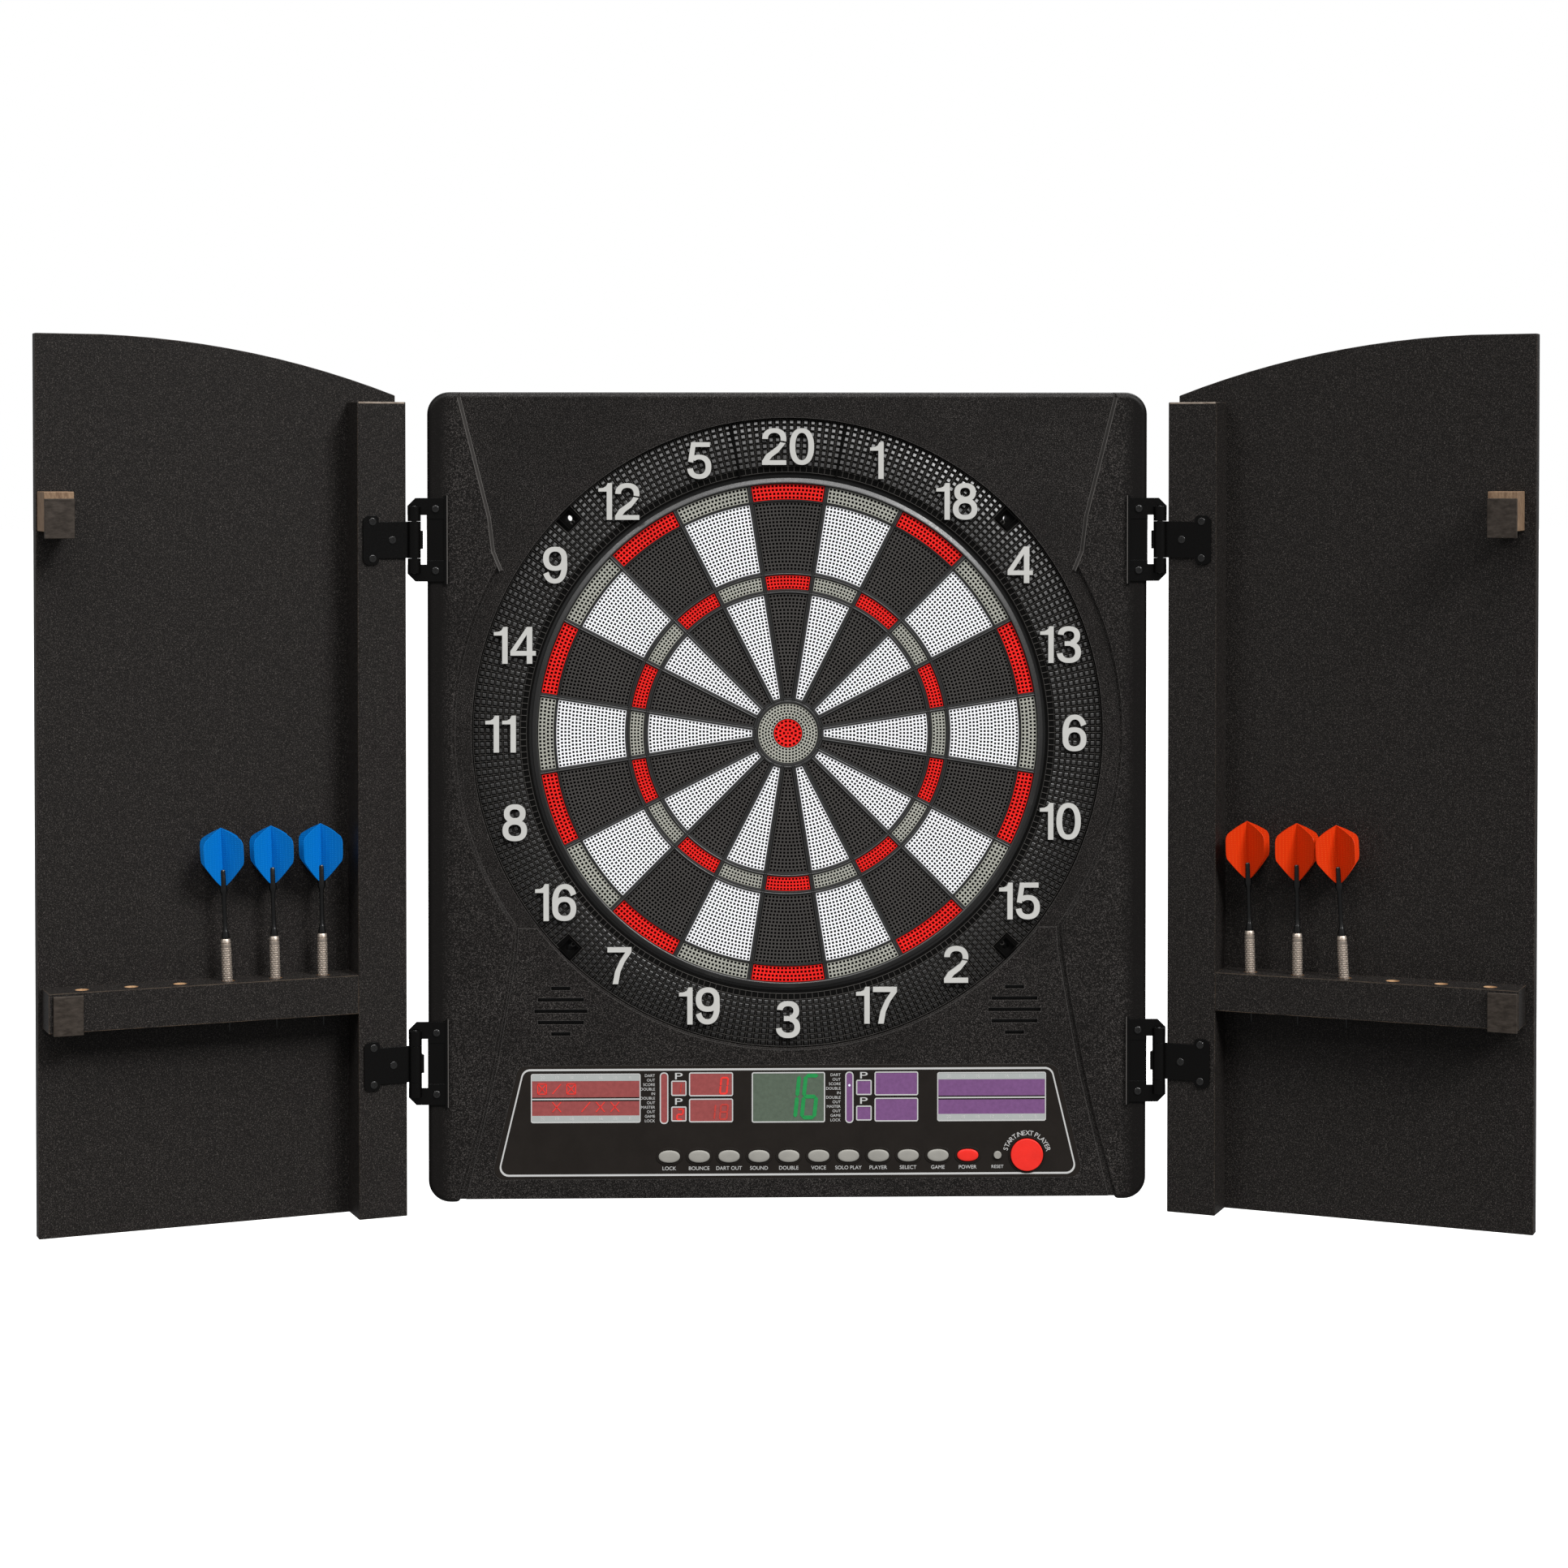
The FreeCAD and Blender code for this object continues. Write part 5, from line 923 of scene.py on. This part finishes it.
def rail_edges():
    """The smooth slope along the upper part of each rail, its colour painted lighter, and the rounded edges on
    both its sides as raised lines painted as highlights.
    """
    batch = Batch()
    low, wide = RAIL_FACE + RAIL_SLOPE, RAIL_SLOPE - 0.2
    ridge = ((-0.3, -0.1), (0.0, 0.14), (0.3, -0.1))
    corners = ((0.2, low - 0.25), (wide, RAIL_FACE + 0.15), (wide, RAIL_FACE + 0.6), (0.2, low + 0.2))
    for side in (-1, 1):
        path = [(side * x, z) for x, z in RAIL_EDGE]
        # a raised line along each rim of the slope, in the painted highlight colour
        for offset, y in ((0.0, low), (RAIL_SLOPE, RAIL_FACE)):
            sweep(batch, path, [(side * (offset + u), y - rise) for u, rise in ridge])
        # the slope itself, in its colour painted lighter
        sweep(batch, path, [(side * u, y) for u, y in corners], 1)
    batch.tidy()
    batch.build("rail_edges", (EDGE_HIGHLIGHT, LIT_SLOPE), "housing", "housing_plastic")


# heights of the hinges, and a frame leaf's inner edge, rise above the rail and half length
HINGE_LEVELS = (149.5, -253.2)
LIP_EDGE, LIP_RISE, LEAF_HALF = 261.6, 2.4, 34.0


def hinge_lips():
    """The folded edge of each frame leaf: a thin strip painted light as a highlight."""
    batch = Batch()
    for side in (-1, 1):
        for middle in HINGE_LEVELS:
            left, right = sorted((side * (LIP_EDGE - 0.55), side * (LIP_EDGE + 0.1)))
            outline = rounded_rectangle(left, right, middle - LEAF_HALF, middle + LEAF_HALF, 0.25, 3)
            batch.prism(outline, RAIL_FACE - LIP_RISE + 0.1, RAIL_FACE - LIP_RISE + 0.7)
    batch.build("hinge_lips", (EDGE_HIGHLIGHT,), "housing", "hinge_black")


# ---------------------------------------------------------------- control panel

PANEL_FACE = reach("control_panel_plate")[0].y
PRINT_RISE = 0.12
PANEL_HALF_LOW, PANEL_HALF_HIGH = 228.5, 207.5
BUTTON_ROW = -326.5
KEY_FIRST, KEY_PITCH = -91.6, 23.05
KEY_LENGTH, KEY_HEIGHT = 16.4, 9.4
RESET_X, START_X = 162.0, 184.7
MARK_PITCH = 11.2


def trapezoid(margin, radius, steps=8):
    """The panel's outline, moved inwards by a margin, with rounded corners."""
    low, high = reach("control_panel_plate")
    bottom, top = low.z + margin, high.z - margin
    slope = (PANEL_HALF_LOW - PANEL_HALF_HIGH) / (high.z - low.z)
    half_low = high.x - margin * 1.02
    half_high = half_low - slope * (top - bottom)
    corners = [Vector((half_low, bottom)), Vector((half_high, top)), Vector((-half_high, top))]
    corners.append(Vector((-half_low, bottom)))
    outline = []
    for index, corner in enumerate(corners):
        before = (corners[index - 1] - corner).normalized()
        after = (corners[(index + 1) % 4] - corner).normalized()
        half = before.angle(after) / 2
        centre = corner + (before + after).normalized() * (radius / math.sin(half))
        start = corner + before * (radius / math.tan(half))
        swing = math.pi - 2 * half
        spoke = start - centre
        for step in range(steps + 1):
            outline.append(tuple(centre + Matrix.Rotation(swing * step / steps, 2) @ spoke))
    return outline


SEVEN = {"0": "abcdef", "1": "bc", "2": "abdeg", "6": "acdefg", "8": "abcdefg"}
SEVEN_BARS = {
    "a": ((0, 2), (1, 2)), "b": ((1, 2), (1, 1)), "c": ((1, 1), (1, 0)), "d": ((0, 0), (1, 0)),
    "e": ((0, 1), (0, 0)), "f": ((0, 2), (0, 1)), "g": ((0, 1), (1, 1)),
}


def stroke(batch, start, end, width, front, back, slot=0):
    """A straight bar with pointed ends between two (x, z) points."""
    first, last = Vector(start), Vector(end)
    along = (last - first).normalized()
    side = Vector((-along.y, along.x)) * width / 2
    tip = along * width / 2
    outline = [first, first + tip - side, last - tip - side, last, last - tip + side, first + tip + side]
    batch.prism([tuple(point) for point in outline], front, back, slot)


def seven_segment(batch, digit, left, bottom, width, height, bar, slot):
    """One digit of a seven segment display, leaning a little to the right."""
    slant = 0.1
    for name in SEVEN[digit]:
        ends = []
        for across, up in SEVEN_BARS[name]:
            z = bottom + height * up / 2
            ends.append((left + width * across + slant * (z - bottom), z))
        stroke(batch, ends[0], ends[1], bar, PANEL_FACE - 0.1, PANEL_FACE + 0.2, slot)


# windows: left, right, bottom, top
MARK_WINDOWS = ((-198.1, -113.7, -300.2, -262.2), (115.3, 199.5, -300.2, -262.2))
MODE_WINDOWS = ((-98.9, -92.3, -301.3, -261.4), (44.2, 50.6, -301.3, -261.4))
PLAYER_WINDOWS = (
    (-90.1, -78.3, -279.6, -267.8), (-90.1, -78.3, -299.4, -287.8),
    (52.6, 64.6, -279.6, -267.8), (52.6, 64.6, -299.4, -287.8),
)
SCORE_WINDOWS = (
    (-76.4, -42.4, -280.0, -261.5), (-76.4, -42.4, -300.2, -281.8),
    (66.8, 100.6, -280.0, -261.5), (66.8, 100.6, -300.2, -281.8),
)
COUNT_WINDOW = (-28.0, 28.6, -300.6, -261.6)


# digit, left, bottom, width, height, width of its bars and material
SHOWN_DIGITS = (
    ("0", -52.6, -278.0, 5.2, 12.2, 1.4, 0),
    ("1", -62.2, -297.8, 5.2, 11.2, 1.3, 3),
    ("8", -52.8, -297.8, 5.4, 11.2, 1.3, 3),
    ("1", -86.6, -277.4, 3.6, 7.2, 0.9, 3),
    ("2", -85.8, -298.0, 4.2, 8.0, 1.2, 0),
    ("1", -3.6, -296.8, 9.0, 32.4, 3.0, 1),
    ("6", 10.6, -296.8, 9.6, 32.4, 3.0, 1),
)


def window(glass, frames, place, radius, slot, line=0.9):
    """A window pane with a light printed frame round it."""
    left, right, bottom, top = place
    outer = rounded_rectangle(left, right, bottom, top, radius)
    corner = max(0.3, radius - line)
    inner = rounded_rectangle(left + line, right - line, bottom + line, top - line, corner)
    glass.prism(inner, PANEL_FACE + 0.1, PANEL_FACE + 0.9, slot)
    frames.strip(outer, inner, PANEL_FACE - PRINT_RISE, PANEL_FACE + 0.9)


def displays():
    """Windows, their frames and the marks behind them."""
    glass, frames, marks, bands = Batch(), Batch(), Batch(), Batch()
    face, back = PANEL_FACE, PANEL_FACE + 0.2
    for index, place in enumerate(MARK_WINDOWS):
        window(glass, frames, place, 1.6, 2 * index, 0.8)
        left, right, bottom, top = place
        start, end = left + 0.9, right - 0.9
        for low, high in ((bottom + 0.8, bottom + 5.6), (top - 5.6, top - 0.8)):
            bands.box((start, face, low), (end, back, high))
            for slot, word in enumerate(("20", "19", "18", "17", "16", "15", "B")):
                across = left + 9.0 + slot * MARK_PITCH
                raise_letters(frames, lettering(word, 2.5), across, (low + high) / 2, face - 0.1, face + 0.1)
        middle = (bottom + top) / 2
        frames.box((start, face - 0.05, middle - 1.2), (end, back, middle - 0.2))
        bands.box((start, face, middle - 2.2), (end, back, middle + 0.8), 1)
    for index, place in enumerate(MODE_WINDOWS):
        window(glass, frames, place, 3.0, 2 * index)
    for index, place in enumerate(PLAYER_WINDOWS):
        window(glass, frames, place, 1.2, 2 * (index // 2))
    for index, place in enumerate(SCORE_WINDOWS):
        window(glass, frames, place, 1.6, 2 * (index // 2))
    window(glass, frames, COUNT_WINDOW, 1.6, 1)

    top_row, low_row = -273.9, -287.9
    for row, signs in ((top_row, "O/O"), (low_row, " X /XX")):
        for slot, sign in enumerate(signs):
            game_mark(marks, sign, -189.5 + slot * MARK_PITCH, row)
    for digit in SHOWN_DIGITS:
        seven_segment(marks, *digit)
    marks.prism(circle(47.4, -272.0, 0.9, 16), face - 0.1, back, 2)

    glass_skins = (WINDOW_RED, WINDOW_GREEN, WINDOW_PURPLE)
    glass.build("display_panes", glass_skins, "housing", "window_tint", replaces=("display_windows",))
    frames.build("display_frames", (PRINT,), "housing", "panel_film")
    bands.build("display_bands", (BAND, PANEL), "housing", "panel_film")
    marks.build("display_marks", (MARK_RED, MARK_GREEN, MARK_WHITE, MARK_DIM), "housing", "window_tint")


# both diagonals and the sides of a box, between corners at -1 and 1
MARK_BARS = (
    (-1, -1, 1, 1), (-1, 1, 1, -1), (-1, -1, -1, 1), (-1, -1, 1, -1), (1, -1, 1, 1), (-1, 1, 1, 1),
)


def game_mark(batch, sign, x, z):
    """One mark of the game display: a stroke, a cross, a cross in a box, or nothing."""
    half_x, half_z = 3.4, 3.9
    bars = {" ": (), "/": MARK_BARS[:1], "X": MARK_BARS[:2], "O": MARK_BARS}[sign]
    for u, v, far_u, far_v in bars:
        start, end = (x + u * half_x, z + v * half_z), (x + far_u * half_x, z + far_v * half_z)
        stroke(batch, start, end, 0.7, PANEL_FACE - 0.1, PANEL_FACE + 0.2)


BUTTON_WORDS = (
    "LOCK", "BOUNCE", "DART OUT", "SOUND", "DOUBLE", "VOICE", "SOLO PLAY", "PLAYER", "SELECT", "GAME",
    "POWER",
)
MODE_WORDS = ("DART", "OUT", "SCORE", "DOUBLE", "IN", "DOUBLE", "OUT", "MASTER", "OUT", "GAME", "LOCK")
# word, and its first letter's angle from the top and the letters' pitch in degrees
START_WORDS = (("START", -74, 10.0), ("/", -25.5, 0.0), ("NEXT", -18, 10.0), ("PLAYER", 26, 10.0))
WORD_ARC = 17.0


def panel_print():
    """The printed border, the raised rings round the keys and plain words for what the keys do."""
    batch = Batch()
    batch.strip(trapezoid(2.2, 7.0), trapezoid(3.7, 6.0), PANEL_FACE - PRINT_RISE, PANEL_FACE + 0.3)
    front, back = PANEL_FACE - PRINT_RISE, PANEL_FACE + 0.1
    for index, word in enumerate(BUTTON_WORDS):
        across = KEY_FIRST + KEY_PITCH * index
        raise_letters(batch, lettering(word, 2.8), across, BUTTON_ROW - 9.2, front, back)
    raise_letters(batch, lettering("RESET", 2.5), RESET_X, BUTTON_ROW - 9.0, front, back)
    for word, start, step in START_WORDS:
        for index, letter in enumerate(word):
            angle = math.radians(start + step * index)
            x, _, z = around(WORD_ARC, angle, 0)
            raise_letters(batch, lettering(letter, 3.6), START_X + x, BUTTON_ROW + z, front, back, angle)
    for left in (-108.6, 34.6):
        for index, word in enumerate(MODE_WORDS):
            letters = lettering(word, 2.1)
            half = max(u for u, _ in letters[0])
            raise_letters(batch, letters, left + 6.0 - half, -263.8 - 3.5 * index, front, back)
    for across in (-84.2, 58.6):
        for level in (-264.3, -283.9):
            raise_letters(batch, lettering("P", 5.0, 5.8), across, level, front, back)
    batch.build("panel_markings", (PRINT,), "housing", "panel_film")

    rings = Batch()
    front, back = PANEL_FACE - 0.5, PANEL_FACE + 0.3
    for index in range(len(BUTTON_WORDS)):
        across = KEY_FIRST + KEY_PITCH * index
        outer, inner = ellipse(across, BUTTON_ROW, 10.1, 6.6), ellipse(across, BUTTON_ROW, 8.5, 5.0)
        rings.strip(outer, inner, front, back)
    rings.strip(circle(START_X, BUTTON_ROW, 14.3), circle(START_X, BUTTON_ROW, 13.3), front, back)
    rings.build("key_surrounds", (PANEL,), "housing", "panel_film", bevel=0.2)


def oval_keys():
    """The eleven oval keys: domed caps on the buttons' bodies."""
    for node in NODES:
        low, high = reach(node)
        if not node.endswith("_button") or high.x - low.x < 1.2 * (high.z - low.z):
            continue
        middle = (low + high) / 2
        levels = ((1.0, high.y - 1.4), (1.0, low.y + 0.75), (0.975, low.y + 0.4), (0.92, low.y + 0.15))
        levels += ((0.80, low.y + 0.02), (0.4, low.y))
        rings = [
            [(x, y, z) for x, z in ellipse(middle.x, middle.z, KEY_LENGTH / 2 * size, KEY_HEIGHT / 2 * size)]
            for size, y in levels
        ]
        batch = Batch()
        batch.add([point for ring in rings for point in ring], loft(len(rings[0]), len(rings)))
        flange = ellipse(middle.x, middle.z, (high.x - low.x) / 2, (high.z - low.z) / 2)
        batch.prism(flange, high.y - 1.2, high.y)
        batch.tidy()
        skin = BUTTON_RED if node == "power_button" else BUTTON_GREY
        batch.build(node + "_cap", (skin,), node + "_body", node_slot(node), smooth=50, replaces=(node,))


# ---------------------------------------------------------------- doors and darts


def door_frame(side, word):
    """From the door's own frame, drawn flat open about its hinge axis, to the row frame, in millimetres."""
    joint = JOINTS[word + "_door_swing"]
    low, high = joint["range_deg"]
    angle = -low if side < 0 else -high
    return Matrix.Translation(Vector(joint["pos_m"]) * 1000) @ Matrix.Rotation(math.radians(angle), 4, "Z")


# the rack's top, and its sockets' first place and pitch from the hinge axis, distance behind it and depth
RACK_TOP = -182.7
HOLE_FIRST, HOLE_PITCH, HOLE_BACK = 68.4, 36.6, 15.2
SOCKET_DEPTH = 12.7


def rack_linings(side, word):
    """The bare fibreboard inside the rack's six holes."""
    batch = Batch()
    for index in range(6):
        across = side * (HOLE_FIRST + HOLE_PITCH * index)
        place = door_frame(side, word) @ Matrix.Translation((across, HOLE_BACK, RACK_TOP))
        low = -SOCKET_DEPTH
        section = [(5.08, -0.15), (5.02, low + 0.05), (3.25, low + 0.05), (3.25, low), (5.09, low)]
        batch.turned(section, 32, 0, place)
    batch.build(word + "_rack_linings", (RAW,), word + "_door", "block_wood", smooth=40)


# the inner face of posts and racks behind the hinge axis, and the ends of posts and racks from it
DOOR_FACE = 2.0
POST_TOP = 255.0
POST_NEAR, POST_FAR = 7.0, 43.0
RACK_ENDS = {"left": 278.0, "right": 274.5}


def worn_edges(side, word):
    """Bare edges: along the top of the post's face and along the rack's upper front edge."""
    place = door_frame(side, word)
    batch = Batch()
    face = DOOR_FACE
    for near, far, level, height, slot in (
        (POST_NEAR, POST_FAR, POST_TOP, 1.3, 0),
        (POST_FAR + 1.5, RACK_ENDS[word] - 1, RACK_TOP, 0.5, 1),
    ):
        across = sorted((side * near, side * far))
        profile = ((face - 0.03, level - height), (face - 0.03, level - 0.25), (face + 0.3, level + 0.03))
        profile += ((face + 1.0, level + 0.03), (face + 1.0, level - height))
        points = [(x, y, z) for x in across for y, z in profile]
        batch.add(points, loft(len(profile), 2), slot, place)
    batch.tidy()
    batch.build(word + "_worn_edges", (LIP, PLATE), word + "_door", "door_foil")


# name, hole of the rack, and lean to the left in degrees on the left and on the right door
DARTS = (("inner", 0, 0.8, 1.4), ("middle", 1, 1.6, 0.4), ("outer", 2, 2.4, 3.2))
FLIGHT_TURN = 38.0
GROOVE = 0.34


def barrel(batch, place, steps=48):
    """The grip: plain collars, and between them rings of short raised blocks, every other ring shifted."""
    rows = [(0.0, 0.0, 0), (3.2, 0.0, 0), (3.8, 1.0, 0), (3.8, 3.0, 0), (3.3, 3.3, 0), (3.3, 4.1, 0)]
    height, ring = 4.3, 1
    while height < 38.0:
        rows += [(3.9, height, ring), (3.9, height + 0.9, ring)]
        rows += [(3.5, height + 1.1, 0), (3.5, height + 1.5, 0)]
        height += 1.7
        ring = 3 - ring
    rows += [(3.75, 38.8, 0), (3.75, 40.6, 0), (3.3, 40.9, 0), (3.3, 41.4, 0)]
    rows += [(3.75, 41.8, 0), (3.4, 43.9, 0), (3.0, 44.5, 0), (0.0, 44.5, 0)]
    count, points, faces = len(rows), [], []
    for step in range(steps):
        angle = TAU * step / steps
        for radius, level, kind in rows:
            low = kind and (step // 3 + kind) % 2
            size = radius - GROOVE if low else radius
            points.append((size * math.cos(angle), size * math.sin(angle), level))
    for step in range(steps):
        here, there = step * count, (step + 1) % steps * count
        faces += [[here + i, there + i, there + i + 1, here + i + 1] for i in range(count - 1)]
    batch.add(points, faces, 0, place)


def flight_outline():
    """One wing, from the shaft outwards: narrow foot, rounded shoulders, blunt top."""
    outline = [(0.0, 82.6), (1.6, 82.6)]
    for part in range(9):
        share = part / 8
        outline.append((1.6 + 18.4 * share**0.85, 84.0 + 17.0 * share))
    outline += [(20.6, 103.5), (20.8, 106.5), (20.8, 115.0), (20.3, 117.5), (18.6, 120.0), (15.5, 121.8)]
    outline += [(9.0, 125.0), (0.0, 128.6)]
    return outline


def dart(side, word, name, index, lean, flight_skin):
    """A soft tip dart standing in its rack hole."""
    foot = (side * (HOLE_FIRST + HOLE_PITCH * index), HOLE_BACK, RACK_TOP - SOCKET_DEPTH + 0.15)
    upright = door_frame(side, word) @ Matrix.Translation(foot)
    place = upright @ Matrix.Rotation(math.radians(-lean), 4, "Y")
    batch = Batch()
    barrel(batch, place)
    tip = [(0.0, 0.0), (2.6, 0.0), (2.6, -5.0), (1.25, -7.5), (0.9, -24.5), (0.35, -26.0), (0.0, -26.0)]
    batch.turned(tip[::-1], 16, 1, place)
    shaft = [(0.0, 44.5), (3.0, 44.5), (3.05, 45.3), (2.75, 47.2), (2.3, 49.4), (2.05, 50.7), (1.75, 51.2)]
    shaft += [(1.65, 60.0), (1.65, 76.0), (2.1, 78.6), (3.1, 80.8)]
    shaft += [(3.0, 82.0), (2.8, 95.6), (2.2, 96.8), (0.0, 96.8)]
    batch.turned(shaft, 20, 1, place)
    turned = place @ Matrix.Rotation(math.radians(-side * FLIGHT_TURN), 4, "Z")
    for quarter in range(4):
        wing = turned @ Matrix.Rotation(quarter * math.pi / 2, 4, "Z")
        batch.prism(flight_outline(), -0.25, 0.25, 2, wing)
    label = "%s_dart_%s" % (word, name)
    skins = (NICKEL, SHAFT, flight_skin)
    batch.build(label + "_turned", skins, label + "_body", "dart_nickel", smooth=35, replaces=(label,))


# ---------------------------------------------------------------- CAD nodes that stay

# material and rounding of the edges in millimetres
CAD_SKINS = {
    "front_housing": (HOUSING, 0.3),
    "rear_housing": (REAR, 0.6),
    "damping_sheet": (RUBBER, 0),
    "switch_matrix": (FILM, 0),
    "backing_board": (BACKING, 0),
    "main_circuit_board": (BOARD, 0),
    "display_board": (BOARD, 0),
    "keypad_mat": (RUBBER, 0),
    "control_panel_plate": (PANEL, 0.15),
    "left_speaker": (STEEL, 0),
    "right_speaker": (STEEL, 0),
    "power_jack": (RUBBER, 0.2),
    "housing_screws": (SCREW, 0.2),
    "hinge_frame_leaves": (HINGE, 0.35),
    "hinge_pins": (SCREW, 0.4),
    "hinge_frame_screws": (SCREW, 0),
    "reset_button": (BUTTON_GREY, 0),
    "start_button": (BUTTON_RED, 0),
}
DOOR_SKINS = {
    "door_panel": (FOIL, 0.6),
    "door_post": (FOIL, 0.6),
    "dart_rack": (FOIL, 0.5),
    "stop_block": (BLOCK, 0.5),
    "stop_pads": (PLATE, 0.5),
    "hinge_door_leaves": (HINGE, 0.35),
    "hinge_door_screws": (SCREW, 0),
}


def dress_node(node, skin, width):
    piece = NODES[node]
    piece.data.materials.clear()
    piece.data.materials.append(skin)
    if width:
        soften(piece, width, from_cad=True)


def dress_cad_nodes():
    for node, (skin, width) in CAD_SKINS.items():
        dress_node(node, skin, width)
    for _, word in SIDES:
        for part, (skin, width) in DOOR_SKINS.items():
            dress_node("%s_%s" % (word, part), skin, width)


# ---------------------------------------------------------------- stage

# the floor's height and half its width, in metres
FLOOR, FLOOR_HALF = -1.15, 60.0
# name, strength, spread, elevation and angle from the front to the right, in degrees
LAMPS = (
    ("key", 2.7, 20.0, 40.0, 45.0),
    ("fill", 0.7, 20.0, 40.0, -50.0),
    ("top", 1.6, 32.0, 60.0, 0.0),
    ("rim", 1.6, 40.0, 50.0, 160.0),
)
# strength of the surroundings as light, and as the camera sees them
AMBIENT, BACKGROUND = 0.24, 1.0


def stage():
    """A pale floor, soft studio light and the camera."""
    made = Shader("studio_floor", (0.94, 0.94, 0.935), 0.6)
    made.colour(made.mix(made.noise(400.0, 2.0), (0.94, 0.94, 0.935), (0.92, 0.92, 0.915)))
    mesh = bpy.data.meshes.new("floor")
    corners = [(x * FLOOR_HALF, y * FLOOR_HALF, FLOOR) for x, y in ((-1, -1), (1, -1), (1, 1), (-1, 1))]
    mesh.from_pydata(corners, [], [[0, 1, 2, 3]])
    mesh.materials.append(made.material)
    floor = bpy.data.objects.new("floor", mesh)
    bpy.context.scene.collection.objects.link(floor)
    floor.visible_diffuse = False
    floor.visible_glossy = False

    world = bpy.data.worlds.new("studio")
    bpy.context.scene.world = world
    world.use_nodes = True
    tree = world.node_tree
    seen = tree.nodes.new("ShaderNodeLightPath")
    strength = tree.nodes.new("ShaderNodeMapRange")
    strength.inputs["To Min"].default_value = AMBIENT
    strength.inputs["To Max"].default_value = BACKGROUND
    tree.links.new(seen.outputs["Is Camera Ray"], strength.inputs["Value"])
    tree.nodes["Background"].inputs["Color"].default_value = (1.0, 1.0, 1.0, 1.0)
    tree.links.new(strength.outputs["Result"], tree.nodes["Background"].inputs["Strength"])

    for settings in LAMPS:
        lamp(*settings)

    camera = bpy.data.cameras.new("camera")
    camera.sensor_width = 36.0
    camera.lens = 74.6627
    camera.shift_y = -0.166253
    camera.clip_end = 200.0
    eye = bpy.data.objects.new("camera", camera)
    eye.location = (-0.0642, -2.5482, 0.2114)
    eye.rotation_euler = (math.radians(90 - 1.133), 0.0, math.radians(-1.40))
    bpy.context.scene.collection.objects.link(eye)
    bpy.context.scene.camera = eye
    bpy.context.scene.view_settings.view_transform = "Standard"


def lamp(name, strength, spread, height, across):
    """A far, soft light."""
    light = bpy.data.lights.new(name, "SUN")
    light.energy = strength
    light.angle = math.radians(spread)
    item = bpy.data.objects.new(name, light)
    item.rotation_euler = (math.radians(90 - height), 0.0, math.radians(across))
    bpy.context.scene.collection.objects.link(item)


scoring_segments()
bull()
spider()
catch_ring()
numbers()
displays()
panel_print()
oval_keys()
rail_edges()
hinge_lips()
for side, word in SIDES:
    rack_linings(side, word)
    worn_edges(side, word)
    for name, index, left_lean, right_lean in DARTS:
        lean = left_lean if side < 0 else right_lean
        dart(side, word, name, index, lean, BLUE if side < 0 else ORANGE)
dress_cad_nodes()
stage()
